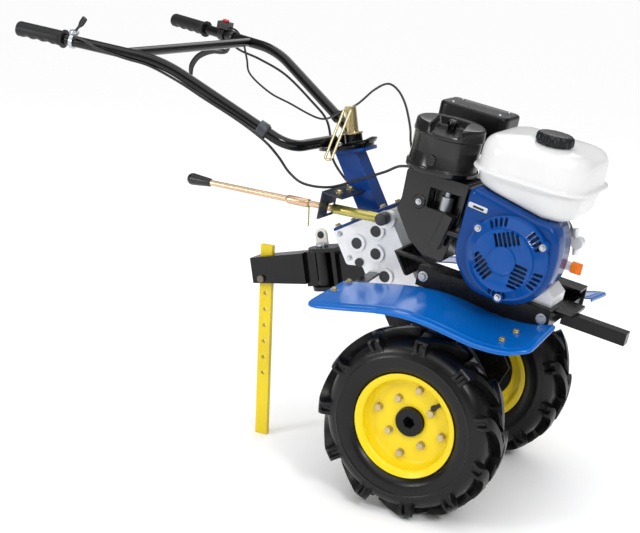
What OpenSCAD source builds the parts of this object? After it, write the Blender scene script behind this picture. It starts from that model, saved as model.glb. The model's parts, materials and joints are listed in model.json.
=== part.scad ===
// Walk-behind two-wheel tractor: petrol engine, belt guard, gear case with a leg down to the axle,
// lugged wheels, drag bar on a swinging drawbar, and a handlebar that swivels on the column.
// Pieces are drawn level about the wheel axle, X forward and Y to the left, then tipped nose down
// to the stance in which the machine parks on its wheels and its drag bar.

/* [Stance] */
// Nose-down angle of the parked machine
body_pitch = 10; // [6:0.5:13]

/* [Wheels] */
// Diameter over the tips of the tyre lugs
tyre_d = 412; // [390:1:414]
// Width of the tyre over its shoulders
tyre_w = 112; // [96:1:116]
// Height of the lugs over the tyre's carcass
lug_h = 17; // [10:1:22]
// Distance between the middle planes of the two wheels
track = 426; // [420:1:460]
// Diameter over the rim flanges
rim_flange_d = 228; // [214:1:236]
// Width of the rim over its flanges
rim_w = 84; // [72:1:90]
// Thickness of the rim's sheet
rim_t = 4; // [3:0.5:6]
// Across-flats size of the hexagon socket in the hub
hub_hex = 24; // [20:1:28]
// Diameter of the hub's round end
hub_d = 62; // [52:1:70]
// Diameter of the axle where it runs in the leg
journal_d = 36; // [34:1:42]

/* [Gear case] */
// Rearward lean of the gear case and its leg
leg_lean = 38; // [36:0.5:40]
// Height of the gear case's top face above the axle, along the leg
case_top = 434; // [424:1:444]
// Height of the split between gear case and leg, along the leg
case_foot = 225; // [215:1:235]
// Reach of the gear case behind the leg's middle line
case_rear = 98; // [92:1:104]
// Reach of the gear case in front of the leg's middle line
case_front = 50; // [46:1:54]
// Width of the gear case across the machine
case_w = 96; // [90:1:100]
// Width of the leg across the machine
leg_w = 76; // [70:1:80]
// Diameter of the rubber plugs over the shafts' ends
plug_d = 26; // [20:1:28]

/* [Steering column] */
// Side of the column's square tube
column_w = 50; // [44:1:54]
// Rearward lean of the swivel that carries the handlebar
head_lean = 20; // [16:0.5:24]
// Place of the swivel behind the axle
head_back = 358; // [352:1:364]
// Height of the swivel above the axle
head_up = 471; // [466:1:480]
// Diameter of the swivel stud
stud_d = 16; // [14:1:20]

/* [Handlebar] */
// Diameter of the handlebar tubes
tube_d = 25; // [22:1:28]
// Wall of the handlebar tubes
tube_wall = 2.5; // [2:0.1:4]
// Half of the spread between the two grips' ends
grip_spread = 305; // [280:1:320]
// Reach of the grips' ends behind the axle
grip_back = 1091; // [1060:1:1110]
// Height of the grips' ends above the axle
grip_up = 573; // [560:1:590]
// Length of the rubber grips
grip_l = 118; // [100:1:130]
// Diameter of the rubber grips
grip_d = 34; // [31:1:38]

/* [Engine] */
// Place of the crankshaft in front of the axle
crank_x = 108; // [102:1:114]
// Height of the crankshaft above the engine's foot
crank_h = 99; // [95:1:103]
// Height of the engine's foot above the axle
engine_foot = 303; // [300:1:306]
// Length of the fuel tank along the machine
tank_l = 248; // [236:1:256]
// Width of the fuel tank across the machine
tank_w = 258; // [246:1:264]
// Diameter of the air cleaner's canister
cleaner_d = 146; // [138:1:148]
// Length of the silencer box
muffler_l = 164; // [152:1:172]
// Diameter of the starter's cover
recoil_d = 172; // [164:1:178]

/* [Mudguards] */
// Length of a mudguard
fender_l = 494; // [482:1:500]
// Width of a mudguard
fender_w = 155; // [148:1:158]
// Thickness of the mudguard's sheet
fender_t = 2.5; // [2:0.1:4]
// Droop of the mudguard towards its outer edge
fender_droop = 7; // [5:0.5:9]

/* [Hitch] */
// Place of the hitch pin behind the axle
hitch_back = 369; // [365:1:373]
// Height of the hitch pin's middle above the axle
hitch_up = 176; // [172:1:180]
// Rearward lean of the hitch pin
hitch_lean = 21; // [19:0.5:23]
// Diameter of the hitch pin
hitch_pin_d = 18; // [14:1:20]
// Width of the drawbar
drawbar_w = 50; // [44:1:56]
// Length of the drawbar behind its pin
drawbar_l = 186; // [180:1:194]
// Width of the drag bar, fore and aft
coulter_w = 32; // [28:1:34]
// Thickness of the drag bar
coulter_t = 12; // [10:1:14]
// Distance between the drag bar's holes
coulter_pitch = 40; // [34:1:42]
// Diameter of the drag bar's holes
coulter_hole_d = 10; // [8:1:12]

/* [Hidden] */

$fn = 64;
// Overrun of every cut past the face it opens
over = 2;
// Gap between pieces that only just clear each other
clear = 0.3;
// Radial play of shafts and pins in their bores
play = 0.05;
// Steps in each rounded corner of an outline
arc_steps = 4;
// Sides of a hull's round children
hull_fn = 32;
// Sides of bent rods and steps in each of their bends
rod_sides = 16;
bend_steps = 8;

function unit(v) = v / norm(v);
function at_shares(shares, w, h) = [for (s = shares) [s.x * w, s.y * h]];
function moved(points, dx, dy) = [for (p = points) [p.x + dx, p.y + dy]];

// Arc of radius r that rounds the corner at b between a and c
function corner_arc(a, b, c, r) =
    let (
        u = unit(a - b),
        w = unit(c - b),
        half = acos(u * w) / 2,
        centre = b + unit(u + w) * r / sin(half),
        p = b + u * r / tan(half) - centre,
        q = b + w * r / tan(half) - centre,
        start = atan2(p.y, p.x),
        turn = atan2(q.y, q.x) - start,
        sweep = turn > 180 ? turn - 360 : turn < -180 ? turn + 360 : turn
    )
    [for (i = [0 : arc_steps]) let (a = start + sweep * i / arc_steps) centre + r * [cos(a), sin(a)]];

// Outline with every corner rounded by r
function rounded(points, r) =
    let (n = len(points))
    [for (i = [0 : n - 1]) each corner_arc(points[(i + n - 1) % n], points[i], points[(i + 1) % n], r)];

// Rectangle about the origin
function box_outline(w, h) = [[-w / 2, -h / 2], [w / 2, -h / 2], [w / 2, h / 2], [-w / 2, h / 2]];

// Value at t along a smooth curve through the values in p, one step of t for each
function spline(t, p) =
    let (
        n = len(p) - 1,
        k = min(floor(t), n - 1),
        f = t - k,
        a = p[max(k - 1, 0)],
        b = p[k],
        c = p[k + 1],
        d = p[min(k + 2, n)]
    )
    0.5 * (2 * b + (c - a) * f + (2 * a - 5 * b + 4 * c - d) * f * f + (3 * b - a - 3 * c + d) * f * f * f);

// Outline in the X-Z plane, carried across the machine from y_low
module plate_y(outline, y_low, t) {
    translate([0, y_low + t, 0]) rotate([90, 0, 0]) linear_extrude(t) polygon(outline);
}

// Round bar along Y
module rod_y(d, y_low, l) {
    translate([0, y_low, 0]) rotate([-90, 0, 0]) cylinder(d = d, h = l);
}

// Round bar from p to q, with a second diameter at q where it tapers
module rod_between(p, q, d, d_end = 0) {
    run = q - p;
    l = norm(run);
    translate(p) rotate([0, acos(run.z / l), atan2(run.y, run.x)])
        cylinder(d1 = d, d2 = d_end == 0 ? d : d_end, h = l);
}

// Path with each inner corner turned into an arc of radius bend
function bent_path(path, bend) =
    let (n = len(path))
    [for (i = [0 : n - 1])
        each (i == 0 || i == n - 1) ? [path[i]] :
        let (
            u = unit(path[i - 1] - path[i]),
            w = unit(path[i + 1] - path[i]),
            half = acos(u * w) / 2,
            centre = path[i] + unit(u + w) * bend / sin(half),
            x = unit(path[i] + u * bend / tan(half) - centre),
            y = unit(cross(cross(x, unit(path[i] - centre)), x)),
            turn = 180 - 2 * half
        )
        [for (k = [0 : bend_steps]) let (a = turn * k / bend_steps) centre + bend * (x * cos(a) + y * sin(a))]
    ];

// Round bar bent to radius bend at the inner points of a path
module bent_rod(path, bend, d) {
    swept_tube(bent_path(path, bend), d, rod_sides);
}

// Points of a route, smoothed, with a given count of steps
function smooth_route(route, steps) =
    [for (i = [0 : steps]) spline(i * (len(route) - 1) / steps, route)];

// Plain tube of diameter d swept along points
module swept_tube(points, d, sides = 8) {
    n = len(points);
    rings = [for (i = [0 : n - 1])
        let (
            along = unit(points[min(i + 1, n - 1)] - points[max(i - 1, 0)]),
            side = unit(cross(along, [0, 0, 1])),
            up = cross(side, along)
        )
        for (k = [0 : sides - 1])
            points[i] + d / 2 * (side * cos(360 * k / sides) + up * sin(360 * k / sides))];
    walls = [for (i = [0 : n - 2], k = [0 : sides - 1])
        [i * sides + k, i * sides + (k + 1) % sides, (i + 1) * sides + (k + 1) % sides, (i + 1) * sides + k]];
    first = [for (k = [sides - 1 : -1 : 0]) k];
    last = [for (k = [0 : sides - 1]) (n - 1) * sides + k];
    polyhedron(rings, concat(walls, [first], [last]));
}

// Mirror image on the left for side 1, as drawn on the right for side -1
module on_side(side) {
    if (side < 0) children();
    else mirror([0, 1, 0]) children();
}

// Front bar's tip, and stance of the parked machine
bar_tip_x = 342;
bar_top_z = 274;
axle_up = tyre_d / 2;

module on_ground() {
    translate([body_x, 0, axle_up]) rotate([0, body_pitch, 0]) children();
}

// Frames in which the leaning pieces are drawn
module leg_frame() {
    rotate([0, -leg_lean, 0]) children();
}

module head_frame() {
    translate([-head_back, 0, head_up]) rotate([0, -head_lean, 0]) children();
}

module hitch_frame() {
    translate([-hitch_back, 0, hitch_up]) rotate([0, -hitch_lean, 0]) children();
}

// Wheels, hubs and axle
hex_play = 0.2;
hex_corner_d = (hub_hex - 2 * hex_play) / cos(30);
hub_boss = 10;
leg_boss_reach = 62;
axle_short = 18;
axle_end = track / 2 - axle_short;
hub_tube_d = 44;
hub_gap = 8;
hub_tube_start = leg_boss_reach + hub_gap;
hub_flange_d = 140;
hub_flange_t = 6;
hub_out = 14;
hub_reach = track / 2 + hub_out;
disc_share = 1.25;
disc_t = disc_share * rim_t;
flange_h = 12;
bead_d = rim_flange_d - 2 * flange_h;
bead_w = 8;
well_h = 9;
well_d = bead_d - 2 * well_h;
tyre_section = (tyre_d - 2 * lug_h - bead_d) / 2;

module axle_shaft() color("dimgray") on_ground() {
    rod_y(journal_d, -hub_tube_start + clear, 2 * (hub_tube_start - clear));
    for (side = [-1, 1]) on_side(side)
        translate([0, -axle_end, 0]) rotate([-90, 0, 0])
            cylinder(d = hex_corner_d, h = axle_end - hub_tube_start + clear, $fn = 6);
}

module hub(side) on_ground() on_side(side) difference() {
    union() {
        rod_y(hub_tube_d, -hub_reach + hub_boss, hub_reach - hub_boss - hub_tube_start);
        rod_y(hub_d, -hub_reach, hub_reach - track / 2 + disc_t / 2 + hub_flange_t);
        rod_y(hub_flange_d, -track / 2 + disc_t / 2, hub_flange_t);
    }
    translate([0, -hub_reach - over, 0]) rotate([-90, 0, 0])
        cylinder(d = hub_hex / cos(30), h = hub_reach + over, $fn = 6);
}

module hub_right() color("#1c1c1e") hub(-1);
module hub_left() color("#1c1c1e") hub(1);

// Half section of the rim: flange, bead seat and well, then the disc in the middle plane
rim_section = [
    [rim_flange_d / 2 - rim_t, rim_w / 2],
    [rim_flange_d / 2, rim_w / 2],
    [rim_flange_d / 2, rim_w / 2 - rim_t],
    [bead_d / 2, rim_w / 2 - bead_w],
    [bead_d / 2, rim_w / 4],
    [well_d / 2, rim_w / 4 - bead_w],
    [well_d / 2, -rim_w / 4 + bead_w],
    [bead_d / 2, -rim_w / 4],
    [bead_d / 2, -rim_w / 2 + bead_w],
    [rim_flange_d / 2, -rim_w / 2 + rim_t],
    [rim_flange_d / 2, -rim_w / 2],
    [rim_flange_d / 2 - rim_t, -rim_w / 2],
    [bead_d / 2 - rim_t, -rim_w / 2 + bead_w],
    [bead_d / 2 - rim_t, -rim_w / 4],
    [well_d / 2 - rim_t, -rim_w / 4 + bead_w],
    [well_d / 2 - rim_t, -disc_t / 2],
    [hub_d / 2 + clear, -disc_t / 2],
    [hub_d / 2 + clear, disc_t / 2],
    [well_d / 2 - rim_t, disc_t / 2],
    [well_d / 2 - rim_t, rim_w / 4 - bead_w],
    [bead_d / 2 - rim_t, rim_w / 4],
    [bead_d / 2 - rim_t, rim_w / 2 - bead_w]
];

module wheel_place(side) {
    on_ground() translate([0, side * track / 2, 0]) rotate([90, 0, 0]) children();
}

module rim(side) wheel_place(side) rotate_extrude($fn = 128) polygon(rim_section);

module rim_right() color("#f2d60f") rim(-1);
module rim_left() color("#f2d60f") rim(1);

// Tyre: bars on each shoulder, staggered from side to side, that sweep forward to past the tread's middle.
// Half sections from sidewall to crown, as shares of the depth from the bead and of the half width
carcass_shares = [[0.53, 0.936], [0.7, 0.9], [0.896, 0.7], [0.977, 0.39], [0.998, 0.16], [1, 0]];
bar_shares = [[0.44, 0.936], [0.537, 0.979], [0.817, 1], [0.98, 0.54], [0.997, 0.16], [1, 0]];
bar_lead_shares = [0, 0, 0, 0.25, 0.74, 1];
liner_shares = [0.72, 0.64];
bar_count = 11;
bar_half_angle = 4.1;
bar_flank_angle = 0.75;
bar_sweep = 21;
bar_step = 180 / bar_count;
bar_first = 3;
crown_row = len(carcass_shares) + 1;
outer_rows = 2 * crown_row + 1;
bar_edges = [
    -bar_half_angle, bar_half_angle, bar_half_angle + bar_flank_angle,
    bar_step - bar_half_angle - bar_flank_angle
];
bead_r = bead_d / 2 + clear;
tyre_bead = [
    [bead_r, rim_w / 2 - bead_w - clear],
    [rim_flange_d / 2 + clear, rim_w / 2 - rim_t - clear]
];

// Radius and distance from the middle plane at a row counted from the bead, on a bar or on the carcass
function tyre_at(m, on_bar) =
    m < 2 ? tyre_bead[m] :
    let (
        share = on_bar ? bar_shares[m - 2] : carcass_shares[m - 2],
        depth = on_bar ? tyre_d / 2 - bead_r : tyre_section - clear
    )
    [bead_r + share.x * depth, share.y * tyre_w / 2];

// Ring of points at one row: bars of the right side stand on even steps, of the left side on odd ones
function tyre_ring(i) =
    let (m = i > crown_row ? outer_rows - 1 - i : i, side = sign(i - crown_row))
    [for (h = [0 : 2 * bar_count - 1], k = [0 : 3])
        let (
            on_bar = k < 2 && m >= bar_first && (h % 2 == 0 ? side <= 0 : side >= 0),
            p = tyre_at(m, on_bar),
            a = h * bar_step + bar_edges[k] + (m < 2 ? 0 : bar_sweep * bar_lead_shares[m - 2])
        )
        [p.x * sin(a), side * p.y, p.x * cos(a)]];
function liner_ring(side) =
    let (r = bead_r + liner_shares[0] * (tyre_section - clear))
    [for (h = [0 : 2 * bar_count - 1], k = [0 : 3])
        let (a = h * bar_step + bar_edges[k])
        [r * sin(a), side * liner_shares[1] * tyre_w / 2, r * cos(a)]];

tyre_rings = concat([for (i = [0 : outer_rows - 1]) tyre_ring(i)], [liner_ring(1), liner_ring(-1)]);
ring_points = 8 * bar_count;
tyre_rows = len(tyre_rings);
tyre_points = [for (ring = tyre_rings) each ring];
tyre_faces = [for (i = [0 : tyre_rows - 1], j = [0 : ring_points - 1])
    let (
        a = i * ring_points + j,
        b = i * ring_points + (j + 1) % ring_points,
        c = (i + 1) % tyre_rows * ring_points + (j + 1) % ring_points,
        d = (i + 1) % tyre_rows * ring_points + j
    )
    each [[a, d, c], [a, c, b]]];

module tyre(side) on_ground() translate([0, side * track / 2, 0]) polyhedron(tyre_points, tyre_faces);

module tyre_right() color("#17171a") tyre(-1);
module tyre_left() color("#17171a") tyre(1);

// Leg from the gear case down to the axle, with a bearing boss on each side
leg_end_d = 116;
leg_front = 45;
leg_rear = 62;
leg_round = 12;
leg_boss_d = 76;

module leg_case() color("#232326") on_ground() difference() {
    union() {
        leg_frame() plate_y(rounded([
            [-leg_end_d / 2, 0], [leg_front, 0], [leg_front, case_foot], [-leg_rear, case_foot]
        ], leg_round / 4), -leg_w / 2, leg_w);
        rod_y(leg_end_d, -leg_w / 2, leg_w);
        rod_y(leg_boss_d, -leg_boss_reach, 2 * leg_boss_reach);
    }
    rod_y(journal_d + 2 * play, -leg_boss_reach - over, 2 * (leg_boss_reach + over));
}

// Gear case: outline as shares of its reach behind the middle line and its height, then bosses
case_h = case_top - case_foot;
case_round = 8;
case_step_share = 0.62;
case_neck_share = 0.54;
plug_ring_w = 7;
plug_ring_d = plug_d + 2 * plug_ring_w;
plug_ring_h = 5;
plug_seat = 3;
plug_rise = 2.5;
shift_boss_d = 40;
shift_boss_h = 14;
input_boss_d = 64;
guard_y = 60;
case_seam_t = 9;
case_seam_rim = 5;
screw_plug_d = 20;
plug_shares = [[-0.52, 0.79], [0.05, 0.83], [-0.17, 0.61], [-0.18, 0.35]];
shift_boss_shares = [0.46, 0.9];
screw_plug_shares = [-0.66, 0.59];

function case_outline(rim) = [
    [-leg_rear, case_foot],
    [case_front, case_foot],
    [case_front, case_top],
    [-case_rear - rim, case_top],
    [-case_rear - rim, case_foot + case_step_share * case_h],
    [-leg_rear, case_foot + case_neck_share * case_h]
];
function on_case(s) = [s.x * case_rear, -case_w / 2, case_foot + s.y * case_h];

module gear_case() color("#d9dade") on_ground() leg_frame() difference() {
    union() {
        plate_y(rounded(case_outline(0), case_round), -case_w / 2, case_w);
        plate_y(rounded(case_outline(case_seam_rim), case_round), -case_seam_t / 2, case_seam_t);
        for (s = plug_shares) translate(on_case(s)) rod_y(plug_ring_d, -plug_ring_h, plug_ring_h + over);
        translate(on_case(shift_boss_shares)) rod_y(shift_boss_d, -shift_boss_h, shift_boss_h + over);
        translate([plug_shares[1].x * case_rear, 0, case_foot + plug_shares[1].y * case_h])
            rod_y(input_boss_d, case_w / 2 - over, guard_y - case_w / 2 + over);
    }
    for (s = plug_shares) translate(on_case(s))
        rod_y(plug_d + 2 * play, -plug_ring_h - over, over + plug_seat);
}

module case_plugs() color("#3b3f45") on_ground() leg_frame() {
    for (s = plug_shares) translate(on_case(s))
        rod_y(plug_d, -plug_ring_h - plug_rise + plug_seat, plug_rise);
    translate(on_case(screw_plug_shares)) rod_y(screw_plug_d, -plug_ring_h, plug_ring_h);
}

// Brace plate in front of the leg, as shares of its reach and height
brace_reach = 112;
brace_h = 215;
brace_t = 8;
brace_shares = [[0, 0.02], [0.6, -0.09], [1, 0.05], [0.98, 0.7], [0, 1]];

module brace_plate() color("#1b1b1d") on_ground() leg_frame() difference() {
    plate_y(moved(at_shares(brace_shares, brace_reach, brace_h), leg_front, 0), -brace_t / 2, brace_t);
    rod_y(leg_end_d, -brace_t, 2 * brace_t);
}

// Steering column: base plate on the gear case, square tube, head plate and swivel stud
base_plate_t = 7;
base_plate_shares = [[-0.98, -0.5], [0.5, -0.5], [0.5, 0.5], [-0.98, 0.5]];
column_back = 6;
column_wall = 4;
column_reach = 190;
head_plate_t = 8;
head_plate_l = 84;
head_plate_w = 78;
head_round = 14;
stud_l = 88;

module steering_column() color("#1d4fa8") on_ground() {
    leg_frame() translate([0, 0, case_top])
        linear_extrude(base_plate_t) polygon(at_shares(base_plate_shares, case_rear, case_w));
    difference() {
        leg_frame() translate([-column_back, 0, case_top]) linear_extrude(column_reach) difference() {
            square(column_w, center = true);
            square(column_w - 2 * column_wall, center = true);
        }
        head_frame() translate([-column_reach, -column_reach, -head_plate_t])
            cube(2 * column_reach);
    }
    head_frame() {
        translate([0, 0, -head_plate_t]) linear_extrude(head_plate_t)
            polygon(rounded(box_outline(head_plate_l, head_plate_w), head_round));
        translate([0, 0, -head_plate_t]) cylinder(d = stud_d, h = stud_l + head_plate_t);
    }
}

// Gear lever: universal joint, outer sleeve, rod with a joint collar, and knob
lever_root = [-222, -75, 357];
lever_tip = [-704, -94, 304];
lever_d = 14;
lever_sleeve_d = 22;
lever_collar_d = 20;
lever_joint_d = 28;
knob_d = 28;
knob_neck_d = 19;
lever_sleeve_share = 0.25;
lever_collar_shares = [0.34, 0.45];
knob_share = 0.9;

function on_lever(s) = lever_root + s * (lever_tip - lever_root);

// Gate on the column's right side that guides the gear lever
gate_t = 4;
gate_l = 52;
gate_w = 110;
gate_z = 386;
gate_back = 351;
gate_drop = 60;
gate_slot_w = 30;
gate_slot_h = 24;

gate_slot = on_lever((-gate_back - lever_root.x) / (lever_tip.x - lever_root.x));

module shift_gate() color("#4c525c") on_ground() difference() {
    union() {
        translate([-gate_back, -column_w / 2 - gate_w, gate_z]) cube([gate_l, gate_w, gate_t]);
        translate([-gate_back, -column_w / 2 - gate_w, gate_z - gate_drop])
            cube([gate_t, gate_w * 2 / 3, gate_drop]);
    }
    translate(gate_slot - [over, gate_slot_w / 2, gate_slot_h / 2])
        cube([gate_t + 2 * over, gate_slot_w, gate_slot_h]);
}

module gear_lever() color("#c9a978") on_ground() {
    rod_between(on_lever(0), on_lever(lever_sleeve_share), lever_sleeve_d);
    rod_between(on_lever(0), on_lever(knob_share), lever_d);
    rod_between(on_lever(lever_collar_shares[0]), on_lever(lever_collar_shares[1]), lever_collar_d);
    shift_seat = case_w / 2 + shift_boss_h;
    translate([lever_root.x, 0, lever_root.z])
        rod_y(lever_joint_d, lever_root.y - lever_joint_d / 2,
            -lever_root.y + lever_joint_d / 2 - shift_seat);
}

module gear_lever_knob() color("#26272a") on_ground() {
    run = lever_tip - lever_root;
    knob_l = (1 - knob_share) * norm(run);
    end_r = knob_d / 2;
    translate(on_lever(knob_share)) rotate([0, acos(run.z / norm(run)), atan2(run.y, run.x)])
        rotate_extrude() polygon(concat(
            [[0, 0], [knob_neck_d / 2, 0]],
            [for (i = [0 : arc_steps]) let (a = 90 * i / arc_steps) [end_r * cos(a), knob_l + end_r * sin(a)]]
        ));
}

// Engine bed: two rails with flat tops, a rear plate against the gear case, and a front cross member
// with a small plate over the front bar
rail_out = 125;
rail_t = 6;
rail_h = 45;
rail_w = 52;
rail_tip = 205;
rail_rear = 96;
rear_half = 92;
cross_rear = 160;
cross_tip = 200;
front_plate_rear = 175;
front_plate_l = 54;
front_plate_w = 100;
front_plate_t = 8;
bed_plate_t = 6;
rear_plate_t = 6;

// Place along X of the leg's front face, moved out by v, at height z
function leg_face_x(z, v) = -tan(leg_lean) * (z - v * sin(leg_lean)) + v * cos(leg_lean);

module bed_rail(side) on_ground() on_side(side) {
    flange_foot = engine_foot - bed_plate_t;
    rear_face = case_front + rear_plate_t;
    translate([-rail_rear, -rail_out, engine_foot - rail_h]) cube([rail_rear + rail_tip, rail_t, rail_h]);
    translate([-rail_rear, -rail_out, flange_foot]) cube([rail_rear + rail_tip, rail_w, bed_plate_t]);
    plate_y([
        [leg_face_x(flange_foot, rear_face), flange_foot],
        [over - rail_rear, flange_foot],
        [over - rail_rear, engine_foot],
        [leg_face_x(engine_foot, rear_face), engine_foot]
    ], -rear_half, rear_half - rail_out + rail_w);
}

module bed_rail_right() color("#1f1f21") bed_rail(-1);
module bed_rail_left() color("#1f1f21") bed_rail(1);

module bed_plates() color("#1f1f21") on_ground() {
    rail_foot = engine_foot - rail_h;
    rear_face = case_front + rear_plate_t;
    plate_y([
        [leg_face_x(rail_foot, case_front), rail_foot],
        [leg_face_x(rail_foot, rear_face), rail_foot],
        [leg_face_x(engine_foot, rear_face), engine_foot],
        [leg_face_x(engine_foot, case_front), engine_foot]
    ], -rear_half, 2 * rear_half);
    translate([cross_rear, -rail_out + rail_t, rail_foot])
        cube([cross_tip - cross_rear, 2 * (rail_out - rail_t), bar_top_z + front_plate_t / 2 - rail_foot]);
    translate([front_plate_rear, -front_plate_w / 2, bar_top_z])
        cube([front_plate_l, front_plate_w, front_plate_t]);
}

// Square bar that sticks out in front
bar_w = 28;
bar_wall = 3;
bar_cap = 4;

module front_bar() color("#1a1a1c") on_ground()
    translate([cross_tip, -bar_w / 2, bar_top_z - bar_w]) difference() {
        cube([bar_tip_x - cross_tip, bar_w, bar_w]);
        translate([-over, bar_wall, bar_wall])
            cube([bar_tip_x - cross_tip + over - bar_cap, bar_w - 2 * bar_wall, bar_w - 2 * bar_wall]);
    }

// Engine: crankcase with a front foot, a finned cylinder that leans to the rear, the oil filler's neck
// and the governor's post on its arm
crank_z = engine_foot + crank_h;
block_right = 105;
block_w = guard_y + block_right;
block_l = 118;
block_h = 150;
block_x = 32;
block_round = 24;
cyl_rise = 15;
cyl_start = 60;
fin_start = 92;
fin_count = 7;
fin_pitch = 9;
fin_t = 4;
fin_w = 112;
barrel_d = 92;
head_l = 24;
head_w = 100;
cover_l = 16;
cover_w = 82;
cyl_y = 2;
foot_l = 46;
foot_h = 40;
foot_w = 80;
oil_x = 205;
oil_y = 62;
oil_z = 388;
oil_d = 24;
oil_l = 22;
oil_tab = 10;
oil_neck_d = 20;
post_d = 12;
post_foot = 414;
post_top = 468;
arm_z = 440;
arm_d = 16;

fin_end = fin_start + fin_count * fin_pitch;

module cyl_frame() {
    translate([crank_x, -cyl_y, crank_z]) rotate([0, cyl_rise - 90, 0]) children();
}

module engine_block() color("#c4c6ca") on_ground() {
    plate_y(rounded(moved(box_outline(block_l, block_h), block_x + block_l / 2,
        engine_foot + block_h / 2), block_round), -block_right, block_w);
    cyl_frame() {
        translate([0, 0, cyl_start]) cylinder(d = barrel_d, h = fin_end - cyl_start);
        for (i = [0 : fin_count - 1]) translate([0, 0, fin_start + i * fin_pitch])
            linear_extrude(fin_t) square(fin_w, center = true);
        translate([0, 0, fin_end - over]) linear_extrude(head_l + over) square(head_w, center = true);
        translate([0, 0, fin_end]) linear_extrude(head_l + cover_l) square(cover_w, center = true);
    }
    front = block_x + block_l;
    plate_y([
        [front - block_round, engine_foot], [front + foot_l, engine_foot],
        [front + foot_l, engine_foot + foot_h / 2], [front - block_round, engine_foot + 2 * foot_h]
    ], -block_right, foot_w);
    translate([0, -oil_y, 0]) {
        rod_between([front - over, 0, oil_z], [oil_x, 0, oil_z], oil_neck_d);
        rod_between([front - block_round, 0, arm_z], [oil_x, 0, arm_z], arm_d);
        rod_between([oil_x, 0, post_foot], [oil_x - post_d, 0, post_top], post_d);
        translate([oil_x, 0, arm_z]) rod_y(2 * post_d, -post_d, 2 * post_d);
    }
}

// Fuel tank's tub over the shroud: its underside is level at the front and rises to the rear
shroud_out = 190;
tank_mid_x = 96;
tank_over = 6;
tank_mid_y = tank_w / 2 - shroud_out - tank_over;
tank_lift = 189;
tank_foot = engine_foot + tank_lift;
tank_slope = 32;
tank_flange = 8;
tank_taper = 6;
tub_corner_d = 60;
tub_rear_x = tank_mid_x - tank_l / 2 + tank_flange + tank_taper;
tub_front_x = tank_mid_x + tank_l / 2 - tank_flange - tank_taper - tub_corner_d;
function tub_z(x) = tank_foot + tank_slope * max(0, (tub_front_x - x) / (tub_front_x - tub_rear_x));

// Fan shroud: its top follows the tub, the rest of its outline is in shares of its length and height
shroud_l = 214;
shroud_h = 199;
shroud_back = 9;
shroud_round = 16;
shroud_wall = 3;
shroud_top_shares = [0.02, 0.88];
shroud_shares = [
    [0.97, 0.82], [1, 0.6], [0.985, 0.36], [0.9, 0.19], [0.64, 0], [0.245, 0.015], [0.053, 0.235], [0, 0.403]
];

function shroud_at(s) = [s.x * shroud_l - shroud_back, engine_foot + s.y * shroud_h];
shroud_points = concat(
    [for (x = [shroud_at([shroud_top_shares[0], 0]).x, tub_front_x, shroud_at([shroud_top_shares[1], 0]).x])
        [x, tub_z(x) - clear]],
    [for (s = shroud_shares) shroud_at(s)]
);
shroud_mid = shroud_at([0.5, 0.5]);
function shroud_outline(inset) = rounded([for (p = shroud_points) [
    shroud_mid.x + (p.x - shroud_mid.x) * (1 - 2 * inset / shroud_l),
    shroud_mid.y + (p.y - shroud_mid.y) * (1 - 2 * inset / shroud_h)
]], shroud_round - inset);

module fan_shroud() color("#1b3f94") on_ground() difference() {
    plate_y(shroud_outline(0), -shroud_out, shroud_out - block_right);
    plate_y(shroud_outline(shroud_wall), shroud_wall - shroud_out, shroud_out - block_right);
}

// Starter cover: stepped dome with slots in three fans and in groups round its foot, and bolt ears
recoil_rim_h = 12;
recoil_cone_h = 12;
recoil_h = 38;
recoil_dome_d = 126;
recoil_boss_d = 54;
recoil_boss_h = 3;
recoil_wall = 4;
slot_w = 4;
slot_depth = 9;
fan_slots = 6;
fan_pitch = 9;
fan_slot_l = 24;
fan_r = 45;
fan_slant = 25;
foot_slots = 4;
foot_slot_step = 8;
foot_slot_l = 12;
foot_r = 74;
foot_fans = [45, 115, 340, 270];
ear_d = 22;
ear_h = 16;
ear_angles = [149, 34, 273];

module recoil_starter() color("#1c48a6") on_ground()
    translate([crank_x, -shroud_out, crank_z]) rotate([90, 0, 0]) difference() {
        union() {
            cylinder(d = recoil_d, h = recoil_rim_h);
            translate([0, 0, recoil_rim_h])
                cylinder(d1 = recoil_d - slot_depth, d2 = recoil_dome_d, h = recoil_cone_h);
            cylinder(d = recoil_dome_d, h = recoil_h);
            cylinder(d = recoil_boss_d, h = recoil_h + recoil_boss_h);
            for (a = ear_angles) rotate(a) translate([(recoil_d - slot_depth) / 2, 0, 0])
                cylinder(d = ear_d, h = ear_h);
        }
        translate([0, 0, -over]) cylinder(d = recoil_d - 2 * slot_depth, h = recoil_rim_h + over);
        cylinder(d = recoil_dome_d - 2 * recoil_wall, h = recoil_h - recoil_wall);
        for (fan = [0 : 2]) rotate(120 * fan) translate([0, fan_r, recoil_h - slot_depth]) rotate(fan_slant)
            for (i = [0 : fan_slots - 1])
                translate([(i - (fan_slots - 1) / 2) * fan_pitch - slot_w / 2, -fan_slot_l / 2, 0])
                    cube([slot_w, fan_slot_l, slot_depth + over]);
        for (a = foot_fans, i = [0 : foot_slots - 1]) rotate(a + (i - (foot_slots - 1) / 2) * foot_slot_step)
            translate([foot_r - foot_slot_l / 2, -slot_w / 2, recoil_rim_h - slot_w])
                cube([foot_slot_l, slot_w, recoil_cone_h]);
    }

// Pull grip of the starter, on its rope's outlet at the shroud's rear wall
pull_y = 170;
pull_z = 404;
pull_l = 76;
pull_w = 22;
pull_lean = 12;
pull_round = 4;
pull_neck_d = 13;
pull_neck_l = 26;

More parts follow.
